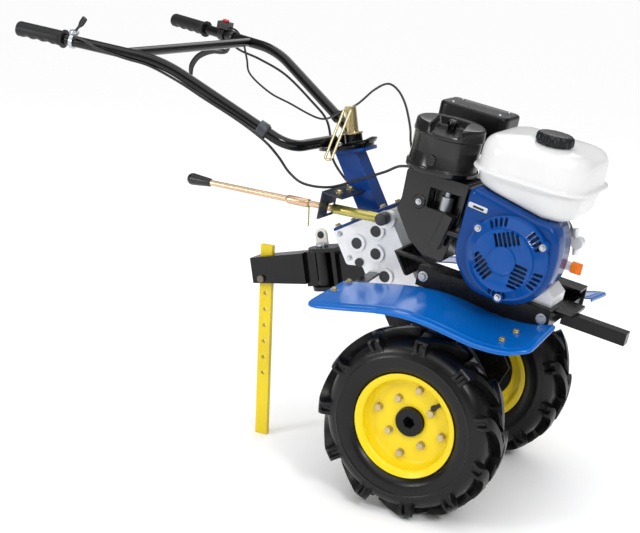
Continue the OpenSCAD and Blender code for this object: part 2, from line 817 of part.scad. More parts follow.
module recoil_grip() color("#2b2d30") on_ground() translate([-shroud_back, -pull_y, pull_z]) {
    translate([-pull_neck_l, 0, 0]) rotate([0, 90, 0]) cylinder(d = pull_neck_d, h = pull_neck_l);
    translate([-pull_neck_l - pull_w / 2, 0, 0]) rotate([0, pull_lean, 0])
        translate([0, 0, -pull_l / 2]) linear_extrude(pull_l)
            polygon(rounded(box_outline(pull_w, pull_w), pull_round));
}

// Fuel tank: tub, seam flange and domed top
tank_seam = 60;
tank_top = 141;
tank_corner_d = 140;
tank_flange_t = 4;
dome_d = 84;
dome_in = 6;
cap_d = 78;
cap_h = 20;
cap_x = 22;
cap_y = -45;

module tank_corners(inset, d, ends = [-1, 1]) {
    for (x = ends, y = [-1, 1])
        translate([x * (tank_l / 2 - inset - d / 2), y * (tank_w / 2 - inset - d / 2), 0]) children();
}

module fuel_tank() color("#f2f2f0") on_ground() translate([tank_mid_x, tank_mid_y, tank_foot]) {
    hull() {
        for (end = [-1, 1]) translate([0, 0, (1 - end) / 2 * tank_slope])
            tank_corners(tank_flange + tank_taper, tub_corner_d, [end])
                cylinder(d = tub_corner_d, h = tank_flange_t, $fn = hull_fn);
        translate([0, 0, tank_seam]) tank_corners(tank_flange, tank_corner_d)
            cylinder(d = tank_corner_d, h = tank_flange_t / 2, $fn = hull_fn);
    }
    translate([0, 0, tank_seam]) hull() tank_corners(0, tank_corner_d)
        cylinder(d = tank_corner_d, h = tank_flange_t, $fn = hull_fn);
    hull() {
        translate([0, 0, tank_seam]) tank_corners(tank_flange, tank_corner_d)
            cylinder(d = tank_corner_d, h = tank_flange_t, $fn = hull_fn);
        translate([0, 0, tank_top - dome_d / 2]) tank_corners(tank_flange + dome_in, dome_d)
            sphere(d = dome_d, $fn = hull_fn);
    }
}

module tank_cap() color("#2d2f32") on_ground()
    translate([tank_mid_x + cap_x, tank_mid_y + cap_y, tank_foot + tank_top]) cylinder(d = cap_d, h = cap_h);

// Air cleaner: canister with a clipped lid, over a tall housing round the carburettor
cleaner_back = 110;
cleaner_y = 90;
cleaner_h = 92;
cleaner_ring_w = 4;
cleaner_ring_d = cleaner_d + 2 * cleaner_ring_w;
cleaner_ring_h = 12;
cleaner_lid_w = 2;
cleaner_lid_d = cleaner_d + 2 * cleaner_lid_w;
cleaner_dome = 16;
cleaner_dome_share = 0.8;
base_right = 150;
base_w = 86;
base_h = 175;
base_l = 148;
base_round = 10;
base_back = 166;
base_lift = 28;
base_foot = engine_foot + base_lift;
cleaner_foot = base_foot + base_h;
base_shares = [
    [0.03, 1], [1, 1], [0.97, 0.6], [0.86, 0], [0.54, 0.01], [0.29, 0.14], [0, 0.47], [0.04, 0.62]
];
window_shares = [0.44, 0.6];
window_l = 70;
window_h = 42;
window_depth = 34;
window_x = window_shares[0] * base_l - base_back;
window_z = base_foot + window_shares[1] * base_h;

module air_cleaner() color("#2a2b2d") on_ground() translate([-cleaner_back, -cleaner_y, cleaner_foot])
    rotate_extrude() polygon([
        [0, 0],
        [cleaner_ring_d / 2, 0],
        [cleaner_ring_d / 2, cleaner_ring_h],
        [cleaner_d / 2, cleaner_ring_h],
        [cleaner_d / 2, cleaner_h - cleaner_ring_h],
        [cleaner_lid_d / 2, cleaner_h - cleaner_ring_h],
        [cleaner_lid_d / 2, cleaner_h],
        [cleaner_dome_share * cleaner_d / 2, cleaner_h + cleaner_dome],
        [0, cleaner_h + cleaner_dome]
    ]);

module air_cleaner_base() color("#242527") on_ground() difference() {
    plate_y(rounded(moved(at_shares(base_shares, base_l, base_h), -base_back, base_foot), base_round),
        -base_right, base_w);
    translate([window_x, -base_right - over, window_z]) cube([window_l, window_depth + over, window_h]);
}

carb_d = 27;
carb_h = 30;
carb_stub_d = 14;

module carburettor() color("#8f9296") on_ground()
    translate([window_x + window_l / 2, window_depth / 2 - base_right, window_z]) {
        cylinder(d = carb_d, h = carb_h);
        translate([0, 0, carb_h]) cylinder(d = carb_stub_d, h = window_h - carb_h);
    }

// Silencer box behind the tank, on the cylinder's far side
muffler_back = 120;
muffler_y = 88;
muffler_w = 96;
muffler_foot = 531;
muffler_h = 91;
muffler_round = 20;
muffler_wall = 3;
muffler_pipe_d = 34;
outlet_d = 18;
port_back = 48;
port_y = 28;
port_z = 471;
pipe_back = 70;
pipe_y = 62;

module muffler() color("#2a2b2d") on_ground() {
    translate([-muffler_back, muffler_y, muffler_foot]) difference() {
        linear_extrude(muffler_h) polygon(rounded(box_outline(muffler_l, muffler_w), muffler_round));
        translate([0, 0, muffler_wall]) linear_extrude(muffler_h - 2 * muffler_wall)
            polygon(rounded(
                box_outline(muffler_l - 2 * muffler_wall, muffler_w - 2 * muffler_wall), muffler_round
            ));
        translate([-muffler_l / 4, 0, muffler_h / 2]) rod_y(outlet_d, 0, muffler_w);
    }
    difference() {
        rod_between([-port_back, port_y, port_z], [-pipe_back, pipe_y, muffler_foot + over], muffler_pipe_d);
        cyl_frame() translate([-head_w / 2, -head_w, 0]) cube([head_w, 2 * head_w, fin_end + head_w]);
    }
}

// Orange oil filler plug on its neck in front of the crankcase
module oil_plug() color("#f28a1c") on_ground() translate([oil_x, -oil_y, oil_z]) rotate([0, 90, 0]) {
    cylinder(d = oil_d, h = oil_l - oil_tab);
    translate([-oil_d / 2, -oil_tab / 4, 0]) cube([oil_d, oil_tab / 2, oil_l]);
}

// Guard over the belt from the crankshaft back to the gear case, on the left
guard_w = 40;
guard_front_d = 88;
guard_rear_d = 90;

module belt_guard() color("#2a2b2d") on_ground() difference() {
    translate([0, guard_y + guard_w, 0]) rotate([90, 0, 0]) linear_extrude(guard_w) hull() {
        translate([crank_x, crank_z]) circle(d = guard_front_d);
        translate(leg_point(plug_shares[1])) circle(d = guard_rear_d);
    }
    plate_y([
        [leg_face_x(engine_foot - 2 * rail_h, case_front), engine_foot - 2 * rail_h],
        [rail_tip, engine_foot - 2 * rail_h],
        [rail_tip, engine_foot],
        [leg_face_x(engine_foot, case_front), engine_foot]
    ], guard_y - over, guard_w + 2 * over);
}

// Point of the gear case in the level frame's X-Z plane
function leg_point(s) =
    let (v = s.x * case_rear, u = case_foot + s.y * case_h)
    [v * cos(leg_lean) - u * sin(leg_lean), v * sin(leg_lean) + u * cos(leg_lean)];

// Mudguards: arched sheet that droops outwards, cut to its plan, with a turned-down lip
fender_back = 272;
fender_in = rail_out + clear;
fender_low = 208;
fender_rise = 56;
fender_lip_h = 8;
fender_margin = 60;
fender_steps = 36;
fender_rise_shares = [0, 0.23, 0.5, 0.77, 0.95, 1, 0.93, 0.87, 0.97, 1.25];
fender_plan_shares = [[0.02, 0], [0, 0.9], [0.04, 1], [0.93, 1], [1, 0.86], [1, 0]];
fender_plan_round = 10;

function fender_at(s) =
    [s * fender_l - fender_back, fender_rise * spline(s * (len(fender_rise_shares) - 1), fender_rise_shares)];
function fender_plan(inset) = [for (s = fender_plan_shares) [
    s.x * fender_l - fender_back + inset * (1 - 2 * s.x),
    -fender_in - s.y * (fender_w - inset) + (s.y == 0 ? inset : 0)
]];

// Strip of the mudguard's curve between two shares of its length, set down by drop
module fender_strip(s_low, s_high, drop, t, y_in, y_out) {
    curve = [for (i = [0 : fender_steps]) fender_at(s_low + (s_high - s_low) * i / fender_steps)];
    under = [for (i = [fender_steps : -1 : 0]) curve[i] - [0, drop + t]];
    translate([0, -fender_in, fender_low]) rotate([fender_droop, 0, 0])
        plate_y(concat([for (p = curve) p - [0, drop]], under), -y_out, y_in + y_out);
}

module fender_prism(points) {
    linear_extrude(fender_low + 2 * fender_margin + fender_rise) polygon(points);
}

module fender(side) on_ground() on_side(side) {
    intersection() {
        fender_prism(rounded(fender_plan(0), fender_plan_round));
        union() {
            fender_strip(0, 1, 0, fender_t, fender_margin, fender_w + fender_margin);
            difference() {
                fender_strip(0, 1, 0, fender_lip_h, fender_margin, fender_w + fender_margin);
                fender_prism(rounded(fender_plan(fender_t), fender_plan_round));
            }
        }
    }
}

module fender_right() color("#1560c8") fender(-1);
module fender_left() color("#1560c8") fender(1);

// Flat stays under both ends of each mudguard, to the gear case and to the bed's rails
stay_t = 5;
stay_reach = 100;
stay_w = 28;
rear_stay_back = 238;
front_stay_in = 38;

function fender_share(x) = (x + fender_back) / fender_l;

module stay(x, root) {
    intersection() {
        fender_strip(fender_share(x), fender_share(x + stay_w), fender_t + clear, stay_t,
            fender_in - root + fender_margin, stay_reach);
        translate([-fender_l, -root - fender_l, 0]) cube([2 * fender_l, fender_l, fender_l]);
    }
}

module fender_stays() color("#1f1f21") on_ground() for (side = [-1, 1]) on_side(side) {
    difference() {
        stay(-rear_stay_back, case_w / 2);
        leg_frame() for (s = plug_shares) translate(on_case(s)) rod_y(plug_ring_d, -plug_ring_h, plug_ring_h);
    }
    stay(rail_tip - front_stay_in, rail_out);
}

// Hitch: clevis on the gear case, its pin and the lug on its upper jaw
jaw_d = 66;
jaw_gap = 82;
jaw_t = 9;
jaw_front = 48;
web_t = 10;
arm_w = 44;
arm_top = 34;
arm_foot = 40;
arm_l = 160;
pin_head_d = 28;
pin_head_h = 8;
pin_tail = 8;

module hitch_clevis() color("#1b1b1d") on_ground() difference() {
    hitch_frame() difference() {
        union() {
            for (z = [-jaw_gap / 2 - jaw_t, jaw_gap / 2]) translate([0, 0, z]) {
                cylinder(d = jaw_d, h = jaw_t);
                translate([0, -jaw_d / 2, 0]) cube([jaw_front, jaw_d, jaw_t]);
            }
            translate([jaw_front - web_t, -jaw_d / 2, -jaw_gap / 2 - jaw_t])
                cube([web_t, jaw_d, jaw_gap + 2 * jaw_t]);
            translate([jaw_front - web_t, -arm_w / 2, -arm_foot]) cube([arm_l, arm_w, arm_top + arm_foot]);
        }
        translate([0, 0, -jaw_gap]) cylinder(d = hitch_pin_d + 2 * play, h = 2 * jaw_gap);
    }
    leg_frame() {
        plate_y(rounded(case_outline(0), case_round), -case_w / 2, case_w);
        translate([-leg_rear, -case_w / 2, 0]) cube([case_rear + leg_rear, case_w, case_foot + over]);
        plate_y(rounded(case_outline(case_seam_rim), case_round), -case_seam_t / 2, case_seam_t);
    }
}

module hitch_pin() color("#b9bcc2") on_ground() hitch_frame() {
    translate([0, 0, -jaw_gap / 2 - jaw_t - pin_tail])
        cylinder(d = hitch_pin_d, h = jaw_gap + 2 * jaw_t + pin_tail + pin_head_h);
    translate([0, 0, jaw_gap / 2 + jaw_t]) cylinder(d = pin_head_d, h = pin_head_h);
}

lug_w = 30;
lug_tall = 40;
lug_t = 8;
lug_hole_d = 14;
lug_back = 24;
lug_gap = 1.3;
lug_y = pin_head_d / 2 + lug_gap;

module hitch_lug() color("#e6e3da") on_ground() hitch_frame()
    translate([-lug_back, 0, jaw_gap / 2 + jaw_t]) difference() {
        union() {
            translate([0, lug_y, 0]) cube([lug_w, lug_t, lug_tall - lug_w / 2]);
            translate([lug_w / 2, 0, lug_tall - lug_w / 2]) rod_y(lug_w, lug_y, lug_t);
        }
        translate([lug_w / 2, 0, lug_tall - lug_w / 2]) rod_y(lug_hole_d, lug_y - over, lug_t / 2 + over);
    }

// Drawbar on the pin, with the drag bar upright through its rear end
tongue_w = 28;
tongue_d = 40;
tongue_h = jaw_gap - 2 * clear;
drawbar_front = 42;
drawbar_rear_top = 35;
drawbar_rear_foot = 26;
drawbar_front_top = 40;
drawbar_front_foot = 33;
coulter_at = 158;
coulter_rise = 62;
coulter_end = 157;
coulter_holes = 8;
coulter_bolt_hole = 6;
bolt_head_d = 18;
bolt_head_h = 7;
coulter_x = -hitch_back - coulter_at * cos(hitch_lean);
coulter_z = hitch_up - coulter_at * sin(hitch_lean);
coulter_drop = axle_up - coulter_x * sin(body_pitch) + coulter_z * cos(body_pitch);

module coulter_frame() {
    hitch_frame() translate([-coulter_at, 0, 0]) rotate([0, hitch_lean - body_pitch, 0]) children();
}

module coulter_hole(i, d, y_low, l) {
    coulter_frame() translate([0, 0, -coulter_drop + coulter_end + i * coulter_pitch]) rod_y(d, y_low, l);
}

module drawbar() color("#19191b") on_ground() difference() {
    union() {
        hitch_frame() plate_y([
            [-drawbar_l, -drawbar_rear_foot], [-drawbar_front, -drawbar_front_foot],
            [-drawbar_front, drawbar_front_top], [-drawbar_l, drawbar_rear_top]
        ], -drawbar_w / 2, drawbar_w);
        hitch_frame() translate([0, 0, -tongue_h / 2]) {
            cylinder(d = tongue_d, h = tongue_h);
            translate([-drawbar_front - over, -tongue_w / 2, 0])
                cube([drawbar_front + over, tongue_w, tongue_h]);
        }
    }
    hitch_frame() translate([0, 0, -jaw_gap]) cylinder(d = hitch_pin_d + 2 * play, h = 2 * jaw_gap);
    coulter_frame() translate([-coulter_w / 2 - clear, -coulter_t / 2 - clear, -drawbar_l])
        cube([coulter_w + 2 * clear, coulter_t + 2 * clear, 2 * drawbar_l]);
    coulter_hole(coulter_bolt_hole, coulter_hole_d, -drawbar_w, 2 * drawbar_w);
}

module coulter_bar() color("#f0d012") on_ground() difference() {
    coulter_frame() translate([-coulter_w / 2, -coulter_t / 2, -coulter_drop])
        cube([coulter_w, coulter_t, coulter_drop + coulter_rise]);
    for (i = [0 : coulter_holes - 1]) coulter_hole(i, coulter_hole_d, -coulter_t, 2 * coulter_t);
}

module coulter_bolt() color("#b9bcc2") on_ground() {
    coulter_hole(coulter_bolt_hole, coulter_hole_d - 2 * play,
        -drawbar_w / 2 - bolt_head_h, drawbar_w + 2 * bolt_head_h);
    coulter_hole(coulter_bolt_hole, bolt_head_d, -drawbar_w / 2 - bolt_head_h, bolt_head_h);
    coulter_hole(coulter_bolt_hole, bolt_head_d, drawbar_w / 2, bolt_head_h);
}

// Swivel head: toothed plate on the stud, with the handlebar's tubes welded on it
swivel_t = 8;
swivel_d = 126;
swivel_back = 20;
swivel_boss_d = 40;
swivel_boss_h = 30;

module swivel_head() color("#1c1c1e") on_ground() head_frame() difference() {
    union() {
        translate([-swivel_back, 0, clear]) cylinder(d = swivel_d, h = swivel_t - clear);
        translate([0, 0, clear]) cylinder(d = swivel_boss_d, h = swivel_boss_h - clear);
    }
    translate([0, 0, -over]) cylinder(d = stud_d + 2 * play, h = swivel_boss_h + 2 * over);
}

// Clamp nut on the stud and the wire bail that turns it
nut_d = 26;
nut_h = 62;
nut_washer_d = 44;
nut_washer_h = 4;
bail_d = 6;
bail_bend = 8;
bail_out = 88;
bail_back = 24;
bail_drop = 16;
bail_top = 84;
bail_half = 9;

module clamp_nut() color("#c8b070") on_ground() head_frame() translate([0, 0, swivel_boss_h]) difference() {
    union() {
        cylinder(d = nut_d, h = nut_h);
        cylinder(d = nut_washer_d, h = nut_washer_h);
    }
    translate([0, 0, -over]) cylinder(d = stud_d + 2 * play, h = nut_h + 2 * over);
}

module clamp_bail() color("#c8b070") on_ground() head_frame() {
    root_y = -nut_d / 2 - bail_d / 2 - clear;
    bent_rod([
        [-bail_half, root_y, bail_top], [-bail_back - bail_half, -bail_out, -bail_drop],
        [-bail_back + bail_half, -bail_out, -bail_drop], [bail_half, root_y, bail_top]
    ], bail_bend, bail_d);
}

// Handlebar tubes: from the swivel head out to a knee, up to an elbow, and back to the grips
handle_root_back = 37;
handle_root_out = 22;
knee_back = 440;
knee_out = 150;
knee_up = 464;
elbow_back = 738;
elbow_out = 246;
elbow_up = 584;
handle_bend = 55;
grip_cap = 5;
handle_root_z = swivel_t + tube_d / 2 + clear;
handle_root = [
    -head_back - handle_root_back * cos(head_lean) - handle_root_z * sin(head_lean),
    -handle_root_out,
    head_up - handle_root_back * sin(head_lean) + handle_root_z * cos(head_lean)
];
knee = [-knee_back, -knee_out, knee_up];
elbow = [-elbow_back, -elbow_out, elbow_up];
grip_end = [-grip_back, -grip_spread, grip_up];
grip_dir = unit(grip_end - elbow);

// Shift that puts the middle of the parked machine's length over the origin
front_reach = bar_tip_x * cos(body_pitch) + bar_top_z * sin(body_pitch);
grip_slope = grip_dir.x * cos(body_pitch) + grip_dir.z * sin(body_pitch);
rear_reach = -grip_back * cos(body_pitch) + grip_up * sin(body_pitch)
    - grip_d / 2 * sqrt(1 - grip_slope * grip_slope);
body_x = -(front_reach + rear_reach) / 2;

tube_end = grip_end - grip_cap * grip_dir;

// Point on the handle's rear stretch at distance back from the elbow
function on_handle(back) = elbow + grip_dir * back;

module handle(side) on_ground() on_side(side) difference() {
    bent_rod([handle_root, knee, elbow, tube_end], handle_bend, tube_d);
    bent_rod([handle_root - over * unit(knee - handle_root), knee, elbow, tube_end - tube_wall * grip_dir],
        handle_bend, tube_d - 2 * tube_wall);
}

module handle_right() color("#1a1a1c") handle(-1);
module handle_left() color("#1a1a1c") handle(1);

crossbar_d = 22;
crossbar_at = 90;

module handle_crossbar() color("#1a1a1c") on_ground() {
    middle = on_handle(crossbar_at);
    difference() {
        translate([middle.x, 0, middle.z]) rod_y(crossbar_d, middle.y, -2 * middle.y);
        for (side = [-1, 1]) on_side(side) rod_between(elbow, tube_end, tube_d);
    }
}

// Rubber grips with a flange at the inner end
grip_flange_d = 42;
grip_flange_t = 5;

module grip(side) on_ground() on_side(side) difference() {
    union() {
        rod_between(grip_end - grip_l * grip_dir, grip_end, grip_d);
        rod_between(grip_end - grip_l * grip_dir, grip_end - (grip_l - grip_flange_t) * grip_dir,
            grip_flange_d);
    }
    rod_between(grip_end - (grip_l + over) * grip_dir, tube_end, tube_d + 2 * play);
}

module grip_right() color("#2b2d30") grip(-1);
module grip_left() color("#2b2d30") grip(1);

// Clamp band round the tube at a distance behind the elbow
band_w = 18;
band_t = 4;

module band(at) {
    difference() {
        rod_between(on_handle(at - band_w / 2), on_handle(at + band_w / 2), tube_d + 2 * band_t);
        rod_between(elbow, tube_end, tube_d + 2 * play);
    }
}

throttle_at = 219;
throttle_lever_h = 44;
throttle_lever_w = 16;
throttle_lever_t = 6;
throttle_lever_lean = 24;
throttle_lever_lift = 1.5;

module throttle_lever() color("#2a2b2e") on_ground() {
    band(throttle_at);
    translate(on_handle(throttle_at)) rotate([0, throttle_lever_lean, 0])
        translate([-throttle_lever_w / 2, -throttle_lever_t / 2, tube_d / 2 + band_t + throttle_lever_lift])
            cube([throttle_lever_w, throttle_lever_t, throttle_lever_h]);
}

clutch_at = 149;
clutch_d = 9;
clutch_bend = 14;
clutch_l = 118;
clutch_out = 16;
clutch_drop = 131;
clutch_shares = [
    [-0.03, 0, -0.12], [-0.178, -0.94, -0.331], [-0.49, -0.94, -0.392], [-0.72, -1, -0.492],
    [-0.898, -1, -0.629], [-1, -1, -0.82], [-0.983, -1, -1]
];

module clutch_lever() color("#242528") on_ground() on_side(1) {
    band(clutch_at);
    root = on_handle(clutch_at);
    bent_rod([for (s = clutch_shares) root + [s.x * clutch_l, s.y * clutch_out, s.z * clutch_drop]],
        clutch_bend, clutch_d);
}

switch_at = 180;
switch_l = 34;
switch_w = 26;
switch_h = 18;
button_l = 16;
button_w = 11;
button_h = 6;

module switch_top() {
    on_ground() on_side(1) translate(on_handle(switch_at) + [0, 0, tube_d / 2 + band_t / 2]) children();
}

module stop_switch() color("#1f2022") {
    on_ground() on_side(1) band(switch_at);
    switch_top() translate([-switch_l / 2, -switch_w / 2, 0]) cube([switch_l, switch_w, switch_h]);
}

module switch_button() color("#c81e1e") switch_top()
    translate([-button_l / 2, -button_w / 2, switch_h]) cube([button_l, button_w, button_h]);

// Straps that hold the cables to the tubes above the knee
strap_share = 0.19;
strap_t = 2.5;
strap_w = 12;

module cable_straps() color("#202123") on_ground() for (side = [-1, 1]) on_side(side) {
    up_tube = unit(elbow - knee);
    middle = knee + strap_share * (elbow - knee);
    difference() {
        rod_between(middle - up_tube * strap_w / 2, middle + up_tube * strap_w / 2, tube_d + 2 * strap_t);
        rod_between(knee, elbow, tube_d + 2 * play);
    }
}

// Control cables, held at both ends
cable_d = 6;
wire_d = 5;
cable_steps = 25;
throttle_route = [
    [-943.5, -293, 590], [-915, -299, 592], [-880, -300, 577], [-815, -283, 567], [-758, -264, 563],
    [-690, -243, 546], [-635, -226, 527], [-551, -204, 497], [-492, -180, 466], [-460, -160, 438],
    [-431, -146, 409], [-397, -132, 392], [-344, -112, 398], [-288, -96, 430], [-236, -87, 462],
    [-205, -86, 484], [-163, -88, 494]
];
clutch_route = [
    [-879, 271, 559], [-850, 270, 551], [-788, 262, 546], [-692, 236, 532], [-583, 198, 494],
    [-530, 178, 470], [-483, 124, 446], [-440, 70, 412], [-390, 52, 380], [-340, 60, 352],
    [-305, 74, 342], [-282, 84, 340.5]
];
switch_route = [
    [-896.5, 279, 599], [-884, 290, 592], [-866, 297, 568], [-840, 285, 532], [-809, 262, 502],
    [-728, 232, 479], [-653, 206, 474], [-538, 165, 470], [-470, 125, 510], [-413, 84, 548], [-363, 50, 598],
    [-320, 20, 626], [-280, -10, 625], [-242, -42, 606], [-208, -72, 570], [-193, -88, 545], [-186, -90, 530]
];

module throttle_cable() color("#1b1b1d") on_ground()
    swept_tube(smooth_route(throttle_route, cable_steps), cable_d);
module clutch_cable() color("#1b1b1d") on_ground()
    swept_tube(smooth_route(clutch_route, cable_steps), cable_d);
module switch_wire() color("#1b1b1d") on_ground() swept_tube(smooth_route(switch_route, cable_steps), wire_d);

axle_shaft();
hub_right();
hub_left();
rim_right();
rim_left();
tyre_right();
tyre_left();
leg_case();
gear_case();
case_plugs();
brace_plate();
steering_column();
shift_gate();
gear_lever();
gear_lever_knob();
bed_rail_right();
bed_rail_left();
bed_plates();
front_bar();
engine_block();
fan_shroud();
recoil_starter();
recoil_grip();
fuel_tank();
tank_cap();
air_cleaner();
air_cleaner_base();
carburettor();
muffler();
oil_plug();
belt_guard();
fender_right();
fender_left();
fender_stays();
hitch_clevis();
hitch_pin();
hitch_lug();
drawbar();
coulter_bar();
coulter_bolt();
swivel_head();
clamp_nut();
clamp_bail();
handle_right();
handle_left();
handle_crossbar();
grip_right();
grip_left();
throttle_lever();
clutch_lever();
stop_switch();
switch_button();
cable_straps();
throttle_cable();
clutch_cable();
switch_wire();
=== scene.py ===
"""Walk-behind hand tractor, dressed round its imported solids. Pieces are worked out level about
the wheel axle in millimetres, X forward and Y to the left, then tipped to the parked stance."""
import json
import math

import bmesh
import bpy
import numpy as np
from mathutils import Matrix, Vector

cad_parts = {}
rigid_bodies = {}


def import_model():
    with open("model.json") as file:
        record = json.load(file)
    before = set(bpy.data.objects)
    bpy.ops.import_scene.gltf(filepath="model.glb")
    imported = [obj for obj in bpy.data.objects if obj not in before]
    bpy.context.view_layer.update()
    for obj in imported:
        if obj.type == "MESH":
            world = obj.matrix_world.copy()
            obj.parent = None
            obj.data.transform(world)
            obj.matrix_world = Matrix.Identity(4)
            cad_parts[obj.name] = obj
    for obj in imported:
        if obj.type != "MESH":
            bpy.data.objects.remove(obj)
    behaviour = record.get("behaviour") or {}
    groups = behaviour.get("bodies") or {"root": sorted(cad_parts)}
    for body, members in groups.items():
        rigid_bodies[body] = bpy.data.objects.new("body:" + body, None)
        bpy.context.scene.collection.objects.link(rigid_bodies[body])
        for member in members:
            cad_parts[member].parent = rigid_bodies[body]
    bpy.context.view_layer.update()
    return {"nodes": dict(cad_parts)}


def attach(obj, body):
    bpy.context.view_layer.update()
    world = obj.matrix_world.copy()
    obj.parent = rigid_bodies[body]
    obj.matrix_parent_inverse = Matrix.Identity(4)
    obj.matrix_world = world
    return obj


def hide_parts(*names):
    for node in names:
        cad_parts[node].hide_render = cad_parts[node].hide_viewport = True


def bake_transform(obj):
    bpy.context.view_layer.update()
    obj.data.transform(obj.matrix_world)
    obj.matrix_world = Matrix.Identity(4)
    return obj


# Camera: a long lens in front of the right wheel, a little above the tank, looking down at the
# machine. Its three axes are set outright.
for stray in list(bpy.data.objects):
    bpy.data.objects.remove(stray)
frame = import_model()
scene = bpy.context.scene
to_the_right = (0.8784, 0.4763, 0.0411)
to_the_top = (-0.1519, 0.1967, 0.9686)
to_the_back = (0.4533, -0.8570, 0.2451)
camera_place = Matrix((to_the_right, to_the_top, to_the_back)).transposed().to_4x4()
camera_place.translation = (1.3030, -2.5561, 1.1750)
camera = bpy.data.objects.new("camera", bpy.data.cameras.new("camera"))
camera.data.sensor_fit = "HORIZONTAL"
camera.data.sensor_width = 36.0
camera.data.lens = 72.1
camera.matrix_world = camera_place
scene.collection.objects.link(camera)
scene.camera = camera

# Axle and hubs: a forged hexagon shaft, turned down where it runs in the leg, with black-painted
# cast hubs pushed on its ends. The hubs keep their solids' shape with the edges broken.
MERGE = 2e-6
SHARP = 30.0


def colour(code):
    """Linear red, green and blue of a six-digit screen colour."""
    c = np.array([int(code[i:i + 2], 16) for i in (0, 2, 4)]) / 255.0
    linear = np.where(c <= 0.04045, c / 12.92, ((c + 0.055) / 1.055) ** 2.4)
    return (*linear, 1.0)


def finish(name, tone, shade, rough, grain, bump, metal=0.0, gleam=0.5, patch=9.0, spread=0.07,
           pebble=False):
    """Surface on Object coordinates: tone drifts to shade over patches, roughness wanders by spread,
    noise, or pebbles for moulded plastic, of so many to the metre lifts it by bump, and gleam sets its
    mirror share."""
    material = bpy.data.materials.new(name)
    material.use_nodes = True
    nodes, link = material.node_tree.nodes, material.node_tree.links.new
    shader = nodes["Principled BSDF"]
    shader.inputs["Metallic"].default_value = metal
    shader.inputs["Specular IOR Level"].default_value = gleam

    def node(kind, **sockets):
        made = nodes.new("ShaderNode" + kind)
        for socket, value in sockets.items():
            made.inputs[socket.replace("_", " ")].default_value = value
        return made

    place = node("TexCoord")
    drift = node("TexNoise", Scale=patch, Detail=6.0)
    scuff = node("TexNoise", Scale=patch * 7.0, Detail=8.0)
    fine = node("TexVoronoi" if pebble else "TexNoise", Scale=grain)
    span = node("MapRange", From_Min=0.3, From_Max=0.7, To_Min=rough - spread, To_Max=rough + spread)
    relief = node("Bump", Strength=bump, Distance=0.001)
    ramp = node("ValToRGB")
    first, last = ramp.color_ramp.elements
    first.position, first.color = 0.34, colour(tone)
    last.position, last.color = 0.72, colour(shade)
    for texture in (drift, scuff, fine):
        link(place.outputs["Object"], texture.inputs["Vector"])
    link(drift.outputs[0], ramp.inputs["Fac"])
    link(ramp.outputs["Color"], shader.inputs["Base Color"])
    link(scuff.outputs[0], span.inputs["Value"])
    link(span.outputs["Result"], shader.inputs["Roughness"])
    link(fine.outputs[0], relief.inputs["Height"])
    link(relief.outputs["Normal"], shader.inputs["Normal"])
    return material


def as_piece(name, shape, material, body, crease):
    """Piece from a worked shape: smooth but for edges sharper than crease and on its body.
    Without a body it rides on nothing yet."""
    mesh = bpy.data.meshes.new(name)
    shape.to_mesh(mesh)
    shape.free()
    mesh.shade_smooth()
    mesh.set_sharp_from_angle(angle=math.radians(crease))
    mesh.materials.append(material)
    piece = bpy.data.objects.new(name, mesh)
    scene.collection.objects.link(piece)
    if body:
        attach(piece, body)
    return piece


def break_edges(piece, width, segments):
    """Rounds every sharp edge of a piece by width in millimetres."""
    edge = piece.modifiers.new("broken_edges", "BEVEL")
    edge.width = width / 1000.0
    edge.segments = segments
    edge.limit_method = "ANGLE"
    edge.angle_limit = math.radians(SHARP)
    edge.harden_normals = True


def slot_of(node):
    """Name of the slot that a solid's node fills."""
    return frame["nodes"][node].data.materials[0].name


def softened(node, width, material, segments=2):
    """Merged copy of a solid's mesh, flat faces joined and sharp edges rounded by width in millimetres.
    It stands for the solid, and rides on the same body."""
    solid = frame["nodes"][node]
    shape = bmesh.new()
    shape.from_mesh(solid.data)
    bmesh.ops.remove_doubles(shape, verts=shape.verts, dist=MERGE)
    bmesh.ops.dissolve_limit(
        shape, angle_limit=math.radians(0.3), verts=shape.verts, edges=shape.edges, delimit={"NORMAL"})
    body = solid.parent.name.split(":")[1]
    piece = as_piece(node + "_finished", shape, material, body, SHARP)
    if width:
        break_edges(piece, width, segments)
    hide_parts(node)
    return piece


axle_steel = finish("turned axle steel", "6d6f73", "54565a", 0.38, 900.0, 0.15, metal=1.0)
hub_black = finish("black hub paint", "0a0a0b", "101011", 0.3, 700.0, 0.1, gleam=0.25)
softened("axle_shaft", 0.6, axle_steel)
for side in ("right", "left"):
    softened("hub_" + side, 1.5, hub_black)

# Wheel rims: pressed steel discs with rolled flanges in yellow lacquer, welded into their barrels and
# held on the hubs by zinc-plated hexagon bolts in two circles of four. A rubber valve leans out.
STANCE = math.radians(10.0)
AXLE_X, AXLE_UP = 0.29711, 0.206
TRACK_HALF, DISC_FACE = 213.0, 5.5
SIDES = (("right", -1.0), ("left", 1.0))
RIGHTWARD, LEFTWARD, UPWARD = (0, -1, 0), (0, 1, 0), (0, 0, 1)


def joined(*parts):
    """Points from their coordinates, each spread over the shape that all share."""
    return np.stack(np.broadcast_arrays(*parts), axis=-1)


def leant(points, lean, foot_x=0.0, foot_z=0.0):
    """Points turned from X towards Z by lean, then moved to their foot."""
    x, y, z = np.moveaxis(np.asarray(points, float), -1, 0)
    c, s = math.cos(lean), math.sin(lean)
    return joined(foot_x + x * c - z * s, y, foot_z + x * s + z * c)


def parked(points):
    """Level millimetres to parked metres: turned nose down about the axle, then lifted to its place."""
    return leant(np.asarray(points, float) / 1000.0, -STANCE, AXLE_X, AXLE_UP)


def closed(grid):
    """Grid with its first row again at its end, so that the columns close."""
    return np.concatenate([grid, grid[:1]])


def circle(steps):
    """Even turns of a full circle."""
    return np.linspace(0.0, 2.0 * np.pi, steps, endpoint=False)


